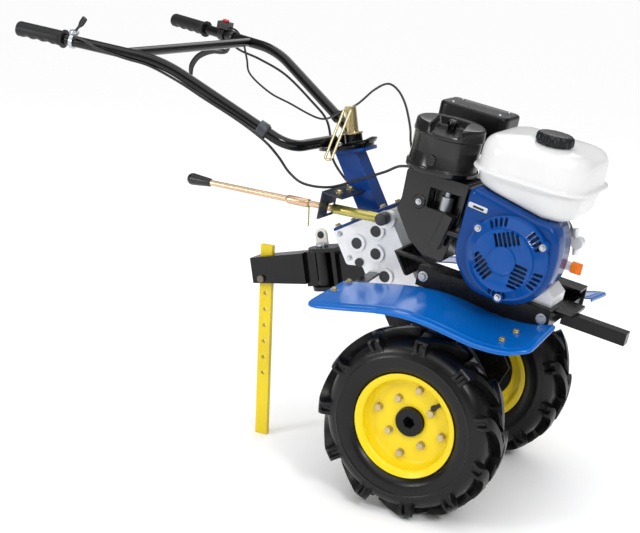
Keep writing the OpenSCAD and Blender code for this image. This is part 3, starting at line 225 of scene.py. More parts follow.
def unit(v):
    """Vectors brought to a length of one."""
    v = np.asarray(v, float)
    return v / np.linalg.norm(v, axis=-1, keepdims=True)


def turned(profile, steps, centre, axis):
    """Surface of revolution: each (radius, along) of profile goes round axis through centre in steps."""
    axis = unit(axis)
    u = unit(np.cross(UPWARD if abs(axis[2]) < 0.9 else (1, 0, 0), axis))
    v = np.cross(axis, u)
    angle = circle(steps)
    spoke = np.cos(angle)[:, None] * u + np.sin(angle)[:, None] * v
    out, up = np.asarray(profile, float).T[:, :, None, None]
    return np.asarray(centre, float) + out * spoke + up * axis


def softened_outline(corners, radius, steps=5):
    """Closed outline with each corner swapped for a quadratic curve that starts and ends radius from it."""
    c = np.asarray(corners, float)
    before, after = np.roll(c, 1, axis=0) - c, np.roll(c, -1, axis=0) - c
    before_l = np.linalg.norm(before, axis=1, keepdims=True)
    after_l = np.linalg.norm(after, axis=1, keepdims=True)
    reach = np.minimum(radius, 0.45 * np.minimum(before_l, after_l))
    start, end = c + before / before_l * reach, c + after / after_l * reach
    t = np.linspace(0.0, 1.0, steps)[None, :, None]
    curve = (1 - t) ** 2 * start[:, None] + 2 * t * (1 - t) * c[:, None] + t ** 2 * end[:, None]
    return curve.reshape(-1, c.shape[1])


def skin(name, slot, material, *grids, body="chassis", ring=True, crease=34.0):
    """One parked piece from grids drawn level: quads join neighbours in each grid, whose rows close in a
    ring where that is set, doubled points are merged, and faces are turned outwards."""
    points, faces, start = [], [], 0
    for grid in grids:
        rows, cols = grid.shape[:2]
        r, c = np.arange(rows - 1)[:, None] * cols, np.arange(cols if ring else cols - 1)
        c2 = (c + 1) % cols
        quads = joined(r + c, r + c2, r + cols + c2, r + cols + c)
        faces.append(quads.reshape(-1, 4) + start)
        points.append(parked(grid).reshape(-1, 3))
        start += rows * cols
    rough_mesh = bpy.data.meshes.new("rough")
    rough_mesh.from_pydata(np.concatenate(points).tolist(), [], np.concatenate(faces).tolist())
    shape = bmesh.new()
    shape.from_mesh(rough_mesh)
    bpy.data.meshes.remove(rough_mesh)
    bmesh.ops.remove_doubles(shape, verts=shape.verts, dist=MERGE)
    bmesh.ops.recalc_face_normals(shape, faces=shape.faces)
    return as_piece(name, shape, material, body, crease)


def bolt_heads(name, slot, material, places, axis, across, height, washer=1.5, flange=0.8,
               body="chassis"):
    """Hexagon heads, chamfered by shrinking the last ring, each on a round washer, at all places along
    axis. The washer is flange times as wide in radius as the head is across."""
    ring = np.array([
        [0.0, 0.0], [flange, 0.0], [flange, washer], [0.59, washer], [0.577, washer + 0.1],
        [0.577, height * 0.8], [0.5, height], [0.0, height]])
    angle = circle(24)
    corner = np.cos(np.pi / 6) / np.cos(angle % (np.pi / 3) - np.pi / 6)
    head = turned(ring * [across, 1.0], len(angle), (0, 0, 0), axis)
    way = unit(axis)
    flat = head - (head @ way)[..., None] * way
    six = np.where((np.arange(len(ring)) >= 4)[:, None], corner[None, :], 1.0)
    head = head + flat * (six - 1.0)[..., None]
    skin(name, slot, material, *[head + place for place in places], body=body, crease=25.0)


rim_yellow = finish(
    "yellow rim lacquer", "ecd222", "e6ca18", 0.28, 420.0, 0.05, gleam=0.3, patch=4.0, spread=0.03)
bolt_silver = finish("pale zinc plate", "c8b98e", "a89b78", 0.3, 800.0, 0.12, metal=0.8)
bolt_zinc = finish("zinc plate", "cdbf92", "aca17c", 0.34, 800.0, 0.15, metal=0.85)
valve_rubber = finish("valve rubber", "141415", "1f1f20", 0.55, 900.0, 0.2)
rim_half = np.array([
    [31.4, 5.0], [60, 5.4], [86, DISC_FACE], [91, 7.5], [94.5, 13], [97, 21], [98, 26], [98, 34],
    [104, 38.5], [108.5, 40.2], [112, 42], [114, 41], [113.6, 38.5], [108, 37.2], [102, 34.4],
    [102, 21], [100, 8]])
rim_section = softened_outline(np.concatenate([rim_half, rim_half[::-1] * [1.0, -1.0]]), 2.2, 4)
bolt_turn = np.radians(np.repeat([41.0, 86.0], 4) + 90.0 * np.tile(np.arange(4), 2))
bolt_reach = np.repeat([55.0, 75.5], 4)
stem = np.array([[0, 0], [6.5, 0], [6.5, 5], [4.6, 9], [4.2, 30], [3.0, 31], [3.0, 38], [0, 38]])
valve_turn, valve_reach, valve_seat, valve_lean = math.radians(48.0), 63.0, 5.0, 0.35
valve_x, valve_z = math.cos(valve_turn), math.sin(valve_turn)
for side, out in SIDES:
    rim = skin("rim_" + side + "_pressing", "rim_yellow", rim_yellow,
               closed(turned(rim_section, 160, (0.0, out * TRACK_HALF, 0.0), LEFTWARD)),
               body="wheelset")
    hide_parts("rim_" + side)
    bolt_face = out * (TRACK_HALF + DISC_FACE)
    seats = joined(bolt_reach * np.cos(bolt_turn), bolt_face, bolt_reach * np.sin(bolt_turn))
    bolt_heads("rim_bolts_" + side, "zinc_gold", bolt_silver, seats, (0, out, 0), 15.0, 10.0,
               washer=0.4, flange=0.62, body="wheelset")
    foot = (valve_reach * valve_x, out * (TRACK_HALF + valve_seat), valve_reach * valve_z)
    skin("valve_" + side, "tyre_rubber", valve_rubber,
         turned(stem, 20, foot, (valve_x, valve_lean * out, valve_z)), body="wheelset")

# Tyres: lugged farm tyres in black rubber. Eleven bars a side start as shoulder blocks at a raised mould
# ring, turn over the shoulder and sweep forward to just past the tread's middle, staggered side to side.
LUGS, ROWS = 11, 60
LUG_HALF, FLANK, SWEEP = math.radians(4.1), math.radians(0.75), math.radians(21.0)
SWEPT_WIDTH, POCKET_DEPTH = 50.0, 8.0
sidewall = [[114.3, 37.6], [120, 44.5], [128, 50], [140, 52.2], [148, 52.4]]
carcass = np.array(sidewall + [
    [151, 54.2], [154, 52.4], [163.5, 50], [172.5, 45], [179.5, 37], [183.5, 26.5], [185.6, 13.5],
    [186, 0]])
lug_tops = np.array(sidewall + [
    [151, 54.4], [156, 54.6], [172, 55.6], [186.5, 56], [196, 51], [201.5, 40], [205, 20], [206, 0]])
liner_half = np.array([[102.4, 33.5], [102.4, 24], [116, 30], [132, 41], [155, 41], [173, 30], [178, 0]])


def eased(low, high, value):
    """Zero below low, one above high, with a smooth turn between."""
    t = np.clip((value - low) / (high - low), 0.0, 1.0)
    return t * t * (3.0 - 2.0 * t)


def tyre_section(points):
    """Half section at even knots, its corners eased twice, then mirrored from right to left."""
    knots = np.linspace(0, len(points) - 1, ROWS)
    curve = joined(*[np.interp(knots, np.arange(len(points)), points[:, k]) for k in (0, 1)])
    for _ in range(2):
        curve[1:-1] = 0.25 * curve[:-2] + 0.5 * curve[1:-1] + 0.25 * curve[2:]
    return np.concatenate([curve * [1.0, -1.0], curve[-2::-1]])


def lugged_tyre():
    """Grid round the wheel (columns) and over the section (rows). Columns lean forward towards the crown
    by SWEEP times the 1.5th power of the distance from the shoulder, so each bar lies between fixed
    columns. A bar lifts the carcass to the lug tops, and a pocket sinks in each shoulder block."""
    pitch = 2.0 * np.pi / LUGS
    half = pitch / 2.0
    valley = half - LUG_HALF - FLANK
    part = np.concatenate([
        np.linspace(-LUG_HALF, LUG_HALF, 9), [LUG_HALF + 0.5 * FLANK, LUG_HALF + FLANK],
        np.linspace(LUG_HALF + FLANK, valley, 9)[1:-1], [valley, valley + 0.5 * FLANK]])
    column = (np.arange(2 * LUGS)[:, None] * half + part[None, :]).reshape(1, -1)
    base, top = tyre_section(carcass), tyre_section(lug_tops)
    run = np.concatenate([[0.0], np.cumsum(np.linalg.norm(np.diff(top, axis=0), axis=1))])
    q = (run - run[ROWS - 1])[:, None]
    lead = SWEEP * (np.clip(SWEPT_WIDTH - np.abs(q), 0.0, None) / SWEPT_WIDTH) ** 1.5
    upright = eased(157.0, 161.0, base[:, :1]) * eased(178.0, 173.0, base[:, :1])
    bar, pocket = 0.0, 0.0
    for side, stagger in ((1.0, 0.0), (-1.0, half)):
        beside = np.abs((column + stagger + half / 2.0) % pitch - half / 2.0)
        reach = eased(-74.0, -70.0, side * q) * eased(11.0, 7.0, side * q)
        lug = reach * eased(LUG_HALF + FLANK, LUG_HALF, beside)
        bar = np.maximum(bar, lug)
        pocket = pocket + upright * (side * q < 0) * lug * eased(0.5, 0.3, beside / LUG_HALF)
    radius = base[:, :1] * (1 - bar) + top[:, :1] * bar
    across = base[:, 1:] * (1 - bar) + top[:, 1:] * bar - POCKET_DEPTH * pocket * np.sign(q)
    angle = np.pi / 2.0 - (column + lead)
    outer = joined(radius * np.cos(angle), across, radius * np.sin(angle))
    liner = np.concatenate([liner_half, liner_half[-2::-1] * [1.0, -1.0]])[::-1]
    liner_r, liner_y = liner[:, :1], liner[:, 1:]
    inner = joined(liner_r * np.cos(angle[:1]), liner_y, liner_r * np.sin(angle[:1]))
    return np.concatenate([outer, inner])


tyre_rubber = finish(
    "tyre rubber", "0a0a0b", "101011", 0.3, 620.0, 0.1, gleam=0.28, patch=6.0, spread=0.05)
for side, out in SIDES:
    tyre = skin("tyre_" + side + "_lugged", "tyre_rubber", tyre_rubber,
                closed(lugged_tyre() + [0.0, out * TRACK_HALF, 0.0]), body="wheelset")
    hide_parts("tyre_" + side)

# Leg and gear case: the leg is black-painted cast iron down to the axle, the gear case bare die-cast alloy
# with machined rings round rubber plugs, silver cover screws and a brace plate in front.
LEG_LEAN = math.radians(38.0)
CASE_SIDE = 48.0
leg_black = finish("black leg paint", "0a0a0b", "101011", 0.26, 330.0, 0.12, gleam=0.25)
case_alloy = finish(
    "die-cast alloy", "e4e5e8", "d2d4d8", 0.32, 420.0, 0.02, metal=0.35, patch=11.0, spread=0.03)
plug_rubber = finish("plug rubber", "1b1e22", "24272c", 0.5, 700.0, 0.2)
case_zinc = finish("case screw zinc", "c4c6ca", "a6a8ad", 0.34, 800.0, 0.12, metal=0.85)
softened("leg_case", 4.0, leg_black, 3)
softened("brace_plate", 1.0, leg_black)
softened("gear_case", 2.2, case_alloy, 3)
softened("case_plugs", 1.0, plug_rubber)
case_screws = leant([
    [-84, CASE_SIDE, 424], [-84, CASE_SIDE, 366], [-54, CASE_SIDE, 236], [40, CASE_SIDE, 236],
    [42, CASE_SIDE, 330]], LEG_LEAN)
for name, out in (("case_screws", -1), ("case_screws_far", 1)):
    bolt_heads(name, "zinc_gold", case_zinc, case_screws * [1, out, 1], (0, out, 0), 8.5, 5.0, washer=1.0)

# Steering column: square steel tube in blue paint, welded to a base plate on the gear case and to the
# lobed head plate that carries the swivel stud. Four zinc bolts hold the base plate.
column_blue = finish("column blue paint", "0a3c82", "093475", 0.18, 380.0, 0.04, gleam=0.25, spread=0.03)
softened("steering_column", 1.6, column_blue, 3)
base_bolts = leant([[-86, 38, 441], [-86, -38, 441], [38, 38, 441], [38, -38, 441]], LEG_LEAN)
bolt_heads("column_bolts", "zinc_gold", bolt_zinc, base_bolts, leant(UPWARD, LEG_LEAN), 11.0, 7.0)

# Shift gate and gear lever: a folded steel gate bolted on the column's side guides the lever, a
# copper-toned rod in an olive sleeve with a black moulded knob. A short chain hangs from its collar.
gate_steel = finish("gate blue-black", "1d2532", "161c27", 0.3, 600.0, 0.12)
rod_copper = finish("lever rod plating", "d9bc9e", "c8a686", 0.26, 500.0, 0.015, metal=0.7, spread=0.03)
sleeve_olive = finish(
    "sleeve zinc plating", "bdb262", "a59b54", 0.26, 500.0, 0.015, metal=0.65, spread=0.03)
knob_black = finish("black moulding", "0e0e10", "17181a", 0.34, 1100.0, 0.1, pebble=True)
softened("shift_gate", 0.8, gate_steel)
lever_root, lever_tip = np.array([-222, -75, 357.0]), np.array([-704, -94, 304.0])
lever_l = np.linalg.norm(lever_tip - lever_root)
lever_way = (lever_tip - lever_root) / lever_l
rod_turn = np.array([
    [0, 0.9], [6.6, 0.9], [7.2, 0.49], [9.2, 0.484], [10, 0.478], [10, 0.382], [9.2, 0.376], [7, 0.37],
    [7, 0.255], [0, 0.255]]) * [1.0, lever_l]
sleeve_turn = np.array([
    [0, 0.256], [8, 0.256], [10.2, 0.244], [11, 0.238], [11, 0.004], [9.5, -0.004],
    [0, -0.004]]) * [1.0, lever_l]
knuckle_turn = [[0, -62], [13, -62], [14, -64], [14, -85], [13.4, -87.6], [11, -89], [0, -89]]
lever_slot = slot_of("gear_lever")
rod = skin("gear_lever_rod", lever_slot, rod_copper, turned(rod_turn, 36, lever_root, lever_way))
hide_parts("gear_lever")
skin("gear_lever_sleeve", lever_slot, sleeve_olive, turned(sleeve_turn, 36, lever_root, lever_way))
skin("gear_lever_knuckle", lever_slot, plug_rubber,
     turned(knuckle_turn, 40, lever_root * [1, 0, 1], LEFTWARD))
softened("gear_lever_knob", 1.5, knob_black, 3)
CHAIN_SHARE, CHAIN_TOP, CHAIN_END, LINK, EYE_R, EYE_WIRE = 0.372, 8.5, 52.0, 5.4, 8.4, 1.3
chain_at = lever_root + lever_way * lever_l * CHAIN_SHARE
wire_turn = circle(10)[::-1]
chain_eye = joined(EYE_R + EYE_WIRE * np.cos(wire_turn), EYE_WIRE * np.sin(wire_turn))
hang = np.linspace(CHAIN_TOP, CHAIN_END, 60)
links = joined(0.9 + 1.2 * np.abs(np.sin(np.pi * hang / LINK)), hang)
links = np.concatenate([[[0.0, CHAIN_TOP]], links, [[0.0, CHAIN_END]]])
plumb = (math.sin(STANCE), 0.0, -math.cos(STANCE))
skin("gear_lever_chain", lever_slot, sleeve_olive,
     closed(turned(chain_eye, 28, chain_at, lever_way)),
     turned(links, 12, chain_at, plumb))
gate_seats = [[-325, -52, 390], [-325, -104, 390]]
bolt_heads("gate_bolts", "zinc_gold", bolt_zinc, gate_seats, UPWARD, 12.0, 7.0)

# Engine bed: black-painted steel rails with flat tops, a rear plate, a cross member and the square bar
# that sticks out in front. Silver bolts go through the rails from both sides.
bed_black = finish("black bed paint", "070708", "0d0d0e", 0.24, 360.0, 0.04, gleam=0.25)
for node in ("bed_rail_right", "bed_rail_left", "bed_plates", "front_bar"):
    softened(node, 1.0, bed_black)
rail_bolts = np.array([[-82, 125, 281], [188, 125, 281]], float)
for side, out in SIDES[::-1]:
    bolt_heads("rail_bolts_" + side, "zinc_gold", case_zinc, rail_bolts * [1, out, 1], (0, out, 0),
               14.0, 7.0)

# Engine: a bare alloy crankcase with a finned cylinder leaning to the rear, bolted on the bed, with a
# black moulded guard over the belt on the far side.
guard_black = finish("guard plastic", "0b0b0c", "121213", 0.36, 900.0, 0.08, gleam=0.3, pebble=True)
softened("engine_block", 2.5, case_alloy, 3)
softened("belt_guard", 6.0, guard_black, 4)

# Fan shroud: one deep pressing in dark blue paint, round behind the starter and square to the rear, with a
# silver slot plate for the throttle stop on its face.
SHROUD_FACE, SHROUD_ROLL = 190.0, 13.0


def along(points, share):
    """Points of a polyline at shares of its own length."""
    step = np.concatenate([[0.0], np.cumsum(np.linalg.norm(np.diff(points, axis=0), axis=1))])
    where = np.asarray(share) * step[-1]
    return joined(*[np.interp(where, step, points[:, k]) for k in range(points.shape[1])])


def ringed(outline, count):
    """Closed outline taken again at count even steps along its length."""
    return along(closed(outline), np.arange(count) / count)


def pressing(outline, layers):
    """Rings of one outline: each layer (inset, height, share) moves the outline in along its normals by
    inset, draws it to the middle by share, and sets it at height, as (first, second, height) points."""
    tangent = np.roll(outline, -1, axis=0) - np.roll(outline, 1, axis=0)
    normal = unit(joined(tangent[:, 1], -tangent[:, 0]))
    x, y = outline.T
    if np.sum(x * np.roll(y, -1) - y * np.roll(x, -1)) < 0.0:
        normal = -normal
    inset, height, share = np.asarray(layers, float).T[:, :, None, None]
    middle = outline.mean(axis=0)
    rings = middle + (outline[None] - inset * normal[None] - middle) * (1.0 - share)
    return np.concatenate([rings, np.repeat(height, len(outline), axis=1)], axis=-1)


def rolled(radius, foot, turns=6):
    """Layers of a quarter-round edge: inset grows as one less the cosine, height as the sine of the turn."""
    a = np.linspace(0.0, np.pi / 2.0, turns)
    return joined(radius * (1 - np.cos(a)), foot + radius * np.sin(a), 0.0)


def to_right(rings):
    """Rings drawn over the X-Z plane, with their height towards the right side."""
    return joined(rings[..., 0], -rings[..., 2], rings[..., 1])


def sheet_wall(piece, thickness):
    """Gives an open pressing its sheet thickness in millimetres, inwards."""
    wall = piece.modifiers.new("sheet", "SOLIDIFY")
    wall.thickness = thickness / 1000.0
    wall.offset = -1.0


def flat_tag(name, slot, material, outline, face, rise, lip=0.6):
    """Thin plate with rounded edges on the right-hand face, rising by rise from the face."""
    layers = [[0, face, 0], [0, face + rise - lip, 0], [lip, face + rise, 0], [lip, face + rise, 1]]
    skin(name, slot, material, to_right(pressing(ringed(outline, 64), layers)))


shroud_blue = finish(
    "shroud blue paint", "073d80", "063573", 0.17, 320.0, 0.03, gleam=0.2, patch=5.0, spread=0.03)
slot_steel = finish("slot plate steel", "c9ccd1", "a9adb4", 0.3, 800.0, 0.1, metal=0.9)
slot_painted_shade = finish("slot shadow", "0a0a0b", "101011", 0.7, 500.0, 0.05)
shroud_corners = [
    [-4.7, 521.5], [-9, 383], [2, 350], [43, 306], [128, 303], [164, 318], [190, 348], [202, 378],
    [205, 422], [199, 464], [180, 491.4], [146, 491.4]]
shroud_outline = ringed(softened_outline(shroud_corners, 26.0, 7), 240)
shroud_layers = np.concatenate([
    [[0.0, 105.0, 0.0], [0.0, 150.0, 0.0]], rolled(SHROUD_ROLL, SHROUD_FACE - SHROUD_ROLL),
    [[SHROUD_ROLL, SHROUD_FACE, share] for share in (0.05, 0.2, 0.5, 0.8, 1.0)]])
shroud = skin("fan_shroud_pressing", "blue_paint", shroud_blue,
              to_right(pressing(shroud_outline, shroud_layers)))
sheet_wall(shroud, 2.0)
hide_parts("fan_shroud")
PLATE_RISE = 1.6
plate_outline = softened_outline([[1, 476], [44, 473], [44, 484], [1, 487]], 4.0)
flat_tag("throttle_stop_plate", "bare_steel", slot_steel, plate_outline, SHROUD_FACE, PLATE_RISE)
# The slot is a thin near-black plate on the silver one: painted shade standing for the open slot.
slot_outline = softened_outline([[12, 478], [36, 476], [36, 480.5], [12, 482.5]], 2.0)
flat_tag("throttle_stop_slot", "black_plastic", slot_painted_shade, slot_outline, SHROUD_FACE + PLATE_RISE, 0.5, 0.2)

# Starter: a brighter blue pressed cover with slots in three fans and groups round its rim, over a black
# rope reel, screwed to the shroud with three bolts. Its black pull grip parks at the shroud's rear edge.
CRANK_X, CRANK_Z = 108.0, 402.0
FAN_SLOTS, FAN_PITCH, FAN_R, FAN_SLANT = 6, 9.0, 45.0, math.radians(25.0)
RIM_SLOTS, RIM_PITCH, RIM_R = 4, 8.0, 74.0
FAN_SLOT, RIM_SLOT = (15.5, 3.2, 27.0, 48.0), (9.2, 3.3, 8.0, 30.0)
EAR_R, EAR_UP = 81.5, 16.0


def slot_prisms(middles, turns, half_l, half_w, low, high):
    """Round-ended slots as upright prisms: each outline, a bar with half-circle ends, is turned about its
    middle, set at the starter's centre and stands from low to high off the shroud's face."""
    a = np.concatenate([np.linspace(-np.pi / 2, np.pi / 2, 7), np.linspace(np.pi / 2, 3 * np.pi / 2, 7)])
    shift = np.repeat([half_l - half_w, half_w - half_l], 7)
    bar_x, bar_z = shift + half_w * np.cos(a), half_w * np.sin(a)
    c, s = np.cos(turns)[:, None, None], np.sin(turns)[:, None, None]
    shrink = np.array([0.0, 1.0, 1.0, 0.0])[:, None]
    x = CRANK_X + middles[:, 0, None, None] + shrink * (bar_x * c - bar_z * s)
    z = CRANK_Z + middles[:, 1, None, None] + shrink * (bar_x * s + bar_z * c)
    return joined(x, -SHROUD_FACE - np.array([low, low, high, high])[:, None], z)


starter_blue = finish(
    "starter blue paint", "084892", "074084", 0.17, 320.0, 0.03, gleam=0.22, patch=5.0, spread=0.03)
reel_and_painted_shade_black = finish("reel plastic", "0d0d0e", "151517", 0.6, 500.0, 0.1)
cover = softened("recoil_starter", 0.0, starter_blue)
fan_turn = np.repeat(np.radians([0.0, 120.0, 240.0]), FAN_SLOTS)
fan_step = np.tile((np.arange(FAN_SLOTS) - (FAN_SLOTS - 1) / 2) * FAN_PITCH, 3)
fan_x, fan_z = fan_step * np.cos(FAN_SLANT), FAN_R + fan_step * np.sin(FAN_SLANT)
fan_middles = joined(fan_x * np.cos(fan_turn) - fan_z * np.sin(fan_turn),
                     fan_x * np.sin(fan_turn) + fan_z * np.cos(fan_turn))
rim_step = (np.arange(RIM_SLOTS) - (RIM_SLOTS - 1) / 2) * RIM_PITCH
rim_turn = np.radians((np.array([45.0, 115.0, 340.0, 270.0])[:, None] + rim_step).ravel())
rim_middles = RIM_R * joined(np.cos(rim_turn), np.sin(rim_turn))
cutter = skin("slot_cutter", "blue_paint", starter_blue,
              *slot_prisms(fan_middles, fan_turn + FAN_SLANT + np.pi / 2, *FAN_SLOT),
              *slot_prisms(rim_middles, rim_turn, *RIM_SLOT), body=None)
opened = cover.modifiers.new("slots", "BOOLEAN")
opened.object = cutter
opened.solver = "EXACT"
break_edges(cover, 0.7, 2)
cut_cover = bpy.data.meshes.new_from_object(cover.evaluated_get(bpy.context.evaluated_depsgraph_get()))
cover.modifiers.clear()
cover.data = cut_cover
bpy.data.objects.remove(cutter)
crank_nose = (CRANK_X, -SHROUD_FACE, CRANK_Z)
boss_turn = [
    [0, 40.4], [22, 40.4], [24.5, 40.8], [26, 41.6], [27.6, 41.8], [29, 41], [29.6, 39], [29.6, 37.5]]
skin("starter_boss", "blue_paint", starter_blue, turned(boss_turn, 64, crank_nose, RIGHTWARD))
reel_turn = [[0, 24], [30, 24], [31, 26], [56, 26], [57, 24], [58, 10], [58, 2], [0, 2]]
skin("rope_reel", "black_plastic", reel_and_painted_shade_black, turned(reel_turn, 48, crank_nose, RIGHTWARD))
# A near-black ring under the cover's rim is painted shade: it darkens the cavity seen through the rim slots,
# in the reel's black.
under_rim = [[60, 1], [76, 1], [76, 8], [66, 12], [60, 12]]
skin("starter_shadow_ring", "black_plastic", reel_and_painted_shade_black,
     closed(turned(under_rim, 64, crank_nose, RIGHTWARD)))
ear_turn = np.radians([149.0, 34.0, 273.0])
ear_seats = joined(CRANK_X + EAR_R * np.cos(ear_turn), -SHROUD_FACE - EAR_UP,
                   CRANK_Z + EAR_R * np.sin(ear_turn))
bolt_heads("starter_bolts", "bare_steel", slot_steel, ear_seats, RIGHTWARD, 9.0, 6.0, washer=1.0)
softened("recoil_grip", 3.0, knob_black, 3)

# Fuel tank: two pressed halves in white enamel joined in a seam flange, the lower one slanting up to the
# rear, with a ridged black filler cap screwed on top.
tank_white = finish("white tank enamel", "d8d8d8", "d3d3d3", 0.18, 260.0, 0.01, gleam=0.4, spread=0.03)
cap_black = finish("cap moulding", "101215", "191b1e", 0.34, 1200.0, 0.06, gleam=0.22, pebble=True)
TANK_X, TANK_Y, TANK_FOOT, TANK_TOP = 96.0, -67.0, 492.0, 141.0
TUB_H, TUB_SLANT, SLANT_FROM, SLANT_L = 60.0, 32.0, 50.0, 160.0
CAP_RIDGES, CAP_AHEAD, CAP_ASIDE = 14, 22.0, 45.0
tank_corners = [[-124, -129], [124, -129], [124, 129], [-124, 129]]
tank_outline = ringed(softened_outline(tank_corners, 84.0, 14), 280)
tank_layers = [
    [44, 0, 1.0], [44, 0, 0.4], [40, 0, 0], [30, 1.5, 0], [23, 6, 0], [18, 15, 0], [13, 50, 0],
    [11.5, 57.6, 0], [4, 59, 0], [0.6, 60, 0], [0, 62, 0], [0.6, 63.8, 0], [3, 64.6, 0], [8, 65.4, 0],
    [9.4, 67.5, 0], [9.8, 71, 0], [10, 88, 0], [10.6, 102, 0], [12, 110, 0], [14.6, 117, 0],
    [18.6, 123, 0], [24, 127.6, 0], [31, 131, 0], [40, 133.6, 0], [50, 135.6, 0], [50, 137.6, 0.2],
    [50, 139.4, 0.42], [50, 140.6, 0.66], [50, TANK_TOP, 0.85], [50, TANK_TOP, 1.0]]
tank_rings = pressing(tank_outline, tank_layers)
to_rear = np.clip((SLANT_FROM - tank_rings[..., 0]) / SLANT_L, 0.0, 1.0)
tank_rings[..., 2] += TUB_SLANT * to_rear * np.clip(1.0 - tank_rings[..., 2] / TUB_H, 0.0, 1.0)
tank = skin("fuel_tank_pressing", "tank_white", tank_white, tank_rings + [TANK_X, TANK_Y, TANK_FOOT])
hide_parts("fuel_tank")
cap_turn = circle(240)
ridge = 0.07 * (0.5 + 0.5 * np.cos(CAP_RIDGES * cap_turn)) ** 1.6
cap_profile = np.array([
    [0, 20], [24, 19.6], [33, 18.6], [36.8, 16], [38.4, 12], [39, 3], [37.6, 0], [0, 0]])
cap_ridged = 1.0 - np.array([0, 0, 0.4, 1, 1, 1, 0.4, 0])[:, None] * ridge
cap_radius = cap_profile[:, :1] * cap_ridged
cap_grid = joined(cap_radius * np.cos(cap_turn), cap_radius * np.sin(cap_turn), cap_profile[:, 1:])
cap = skin("tank_cap_ridged", "black_plastic", cap_black,
           cap_grid + [TANK_X + CAP_AHEAD, TANK_Y - CAP_ASIDE, TANK_FOOT + TANK_TOP])
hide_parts("tank_cap")

# Air cleaner: a moulded black canister under a clipped lid with a channel between two raised cheeks and a
# wing knob in it, on a tall housing whose window shows the carburettor.
cleaner_black = finish("cleaner moulding", "09090a", "0f0f10", 0.2, 850.0, 0.015, gleam=0.48, spread=0.03)
carb_alloy = finish("carburettor alloy", "a4a7ab", "84878b", 0.35, 700.0, 0.2, metal=0.9)
CLEANER_PLACE = np.array([-110.0, -90.0, 506.0])
LID_R, LID_FOOT, LID_FLOOR, LID_TOP = 74.6, 83.0, 85.5, 107.0
CHANNEL, KNOB_BACK = math.radians(-78.0), 14.0
SCREW_X, SCREW_Z, BOSS_R = -119.0, 442.0, 15.0


def channelled_lid(rings, steps):
    """Top of the lid over a round plan: flat, rolled off at its rim, and lower along a straight channel.
    The drop follows the distance from the channel's middle line, and eases up again at its far end."""
    share = np.linspace(0.0, 1.0, rings)[:, None]
    turn = circle(steps)[None]
    x, y = LID_R * share * np.cos(turn), LID_R * share * np.sin(turn)
    beside = np.abs(-x * math.sin(CHANNEL) + y * math.cos(CHANNEL))
    ahead = x * math.cos(CHANNEL) + y * math.sin(CHANNEL)
    cheek = np.maximum(eased(28.0, 35.0, beside), eased(-34.0, -42.0, ahead))
    rim_share = np.clip((share - 0.88) / 0.12, 0.0, 1.0)
    crown = LID_TOP - 4.0 * share ** 2 - 8.0 * (1.0 - np.sqrt(1.0 - rim_share ** 2))
    height = LID_FLOOR + (crown - LID_FLOOR) * cheek
    height[-1] = LID_FOOT
    return joined(x, y, height)


canister = softened_outline([
    [0.2, 0], [77, 0], [77, 12], [73.4, 13], [71.5, 40], [72.4, 76], [75, 77], [75, 84], [73, 85],
    [0.2, 85]], 2.0, 4)
wing_knob = [[0, 106], [7, 105.4], [11, 102], [12, 97], [9, 92], [9, 85], [0, 85]]
knob_foot = (-KNOB_BACK * math.cos(CHANNEL), -KNOB_BACK * math.sin(CHANNEL), 0)
cleaner_grids = (turned(canister, 128, (0, 0, 0), UPWARD), channelled_lid(64, 256),
                 turned(wing_knob, 32, knob_foot, UPWARD))
cleaner = skin("air_cleaner_canister", "black_plastic", cleaner_black,
               *[grid + CLEANER_PLACE for grid in cleaner_grids])
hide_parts("air_cleaner")
softened("air_cleaner_base", 5.0, cleaner_black, 3)
softened("carburettor", 1.2, carb_alloy)
clip_outline = softened_outline([[-118, 524], [-100, 524], [-98, 542], [-109, 548], [-120, 542]], 5.0)
flat_tag("cleaner_clip", "black_plastic", cleaner_black, clip_outline, 161.0, 6.0, 1.2)
boss_angle = circle(30)
boss_outline = joined(SCREW_X + BOSS_R * np.cos(boss_angle), SCREW_Z + BOSS_R * np.sin(boss_angle))
flat_tag("housing_boss", "black_plastic", cleaner_black, boss_outline, 149.5, 4.0, 1.5)
bolt_heads("housing_screw", "bare_steel", slot_steel, [[SCREW_X, -153.4, SCREW_Z]], RIGHTWARD, 8.0, 5.0,
           washer=0.8)

# Silencer: a folded steel heat shield in black over the box, held by screws, with its pipe to the port.
# The shield's top is pressed in a little inside its rolled edge.
heat_black = finish("heat-proof black", "0a0a0b", "101011", 0.3, 650.0, 0.015, gleam=0.25, spread=0.03)


def smooth_path(points, count):
    """Curve through points at count even steps of its parameter, with slopes from the points on both
    sides: the cubic of each span has half the chord between its outer neighbours as its end slopes."""
    p = np.asarray(points, float)
    t = np.linspace(0.0, len(p) - 1.0, count)
    k = np.minimum(t.astype(int), len(p) - 2)
    f = (t - k)[:, None]
    a, b, c, d = p[np.maximum(k - 1, 0)], p[k], p[k + 1], p[np.minimum(k + 2, len(p) - 1)]
    square, cube = 2 * a - 5 * b + 4 * c - d, 3 * b - a - 3 * c + d
    return 0.5 * (2 * b + (c - a) * f + square * f ** 2 + cube * f ** 3)


def swept(path, wide, tall=None, sides=16, up=UPWARD):
    """Round or oval bar along a path: each ring stands square to the path, wide across it and tall towards
    up. Both are one number, or one for each row or each point, and the ends close to a point."""
    path = np.asarray(path, float)
    wide = np.asarray(wide, float)[..., None]
    tall = wide if tall is None else np.asarray(tall, float)[..., None]
    run = unit(np.gradient(path, axis=0))
    across = unit(np.cross(run, up))
    rise = np.cross(across, run)
    a = circle(sides)[:, None]
    grid = path[:, None] + np.cos(a) * across[:, None] * wide + np.sin(a) * rise[:, None] * tall
    first, last = (np.repeat(path[k, None, None], sides, axis=1) for k in (0, -1))
    return np.concatenate([first, grid, last])


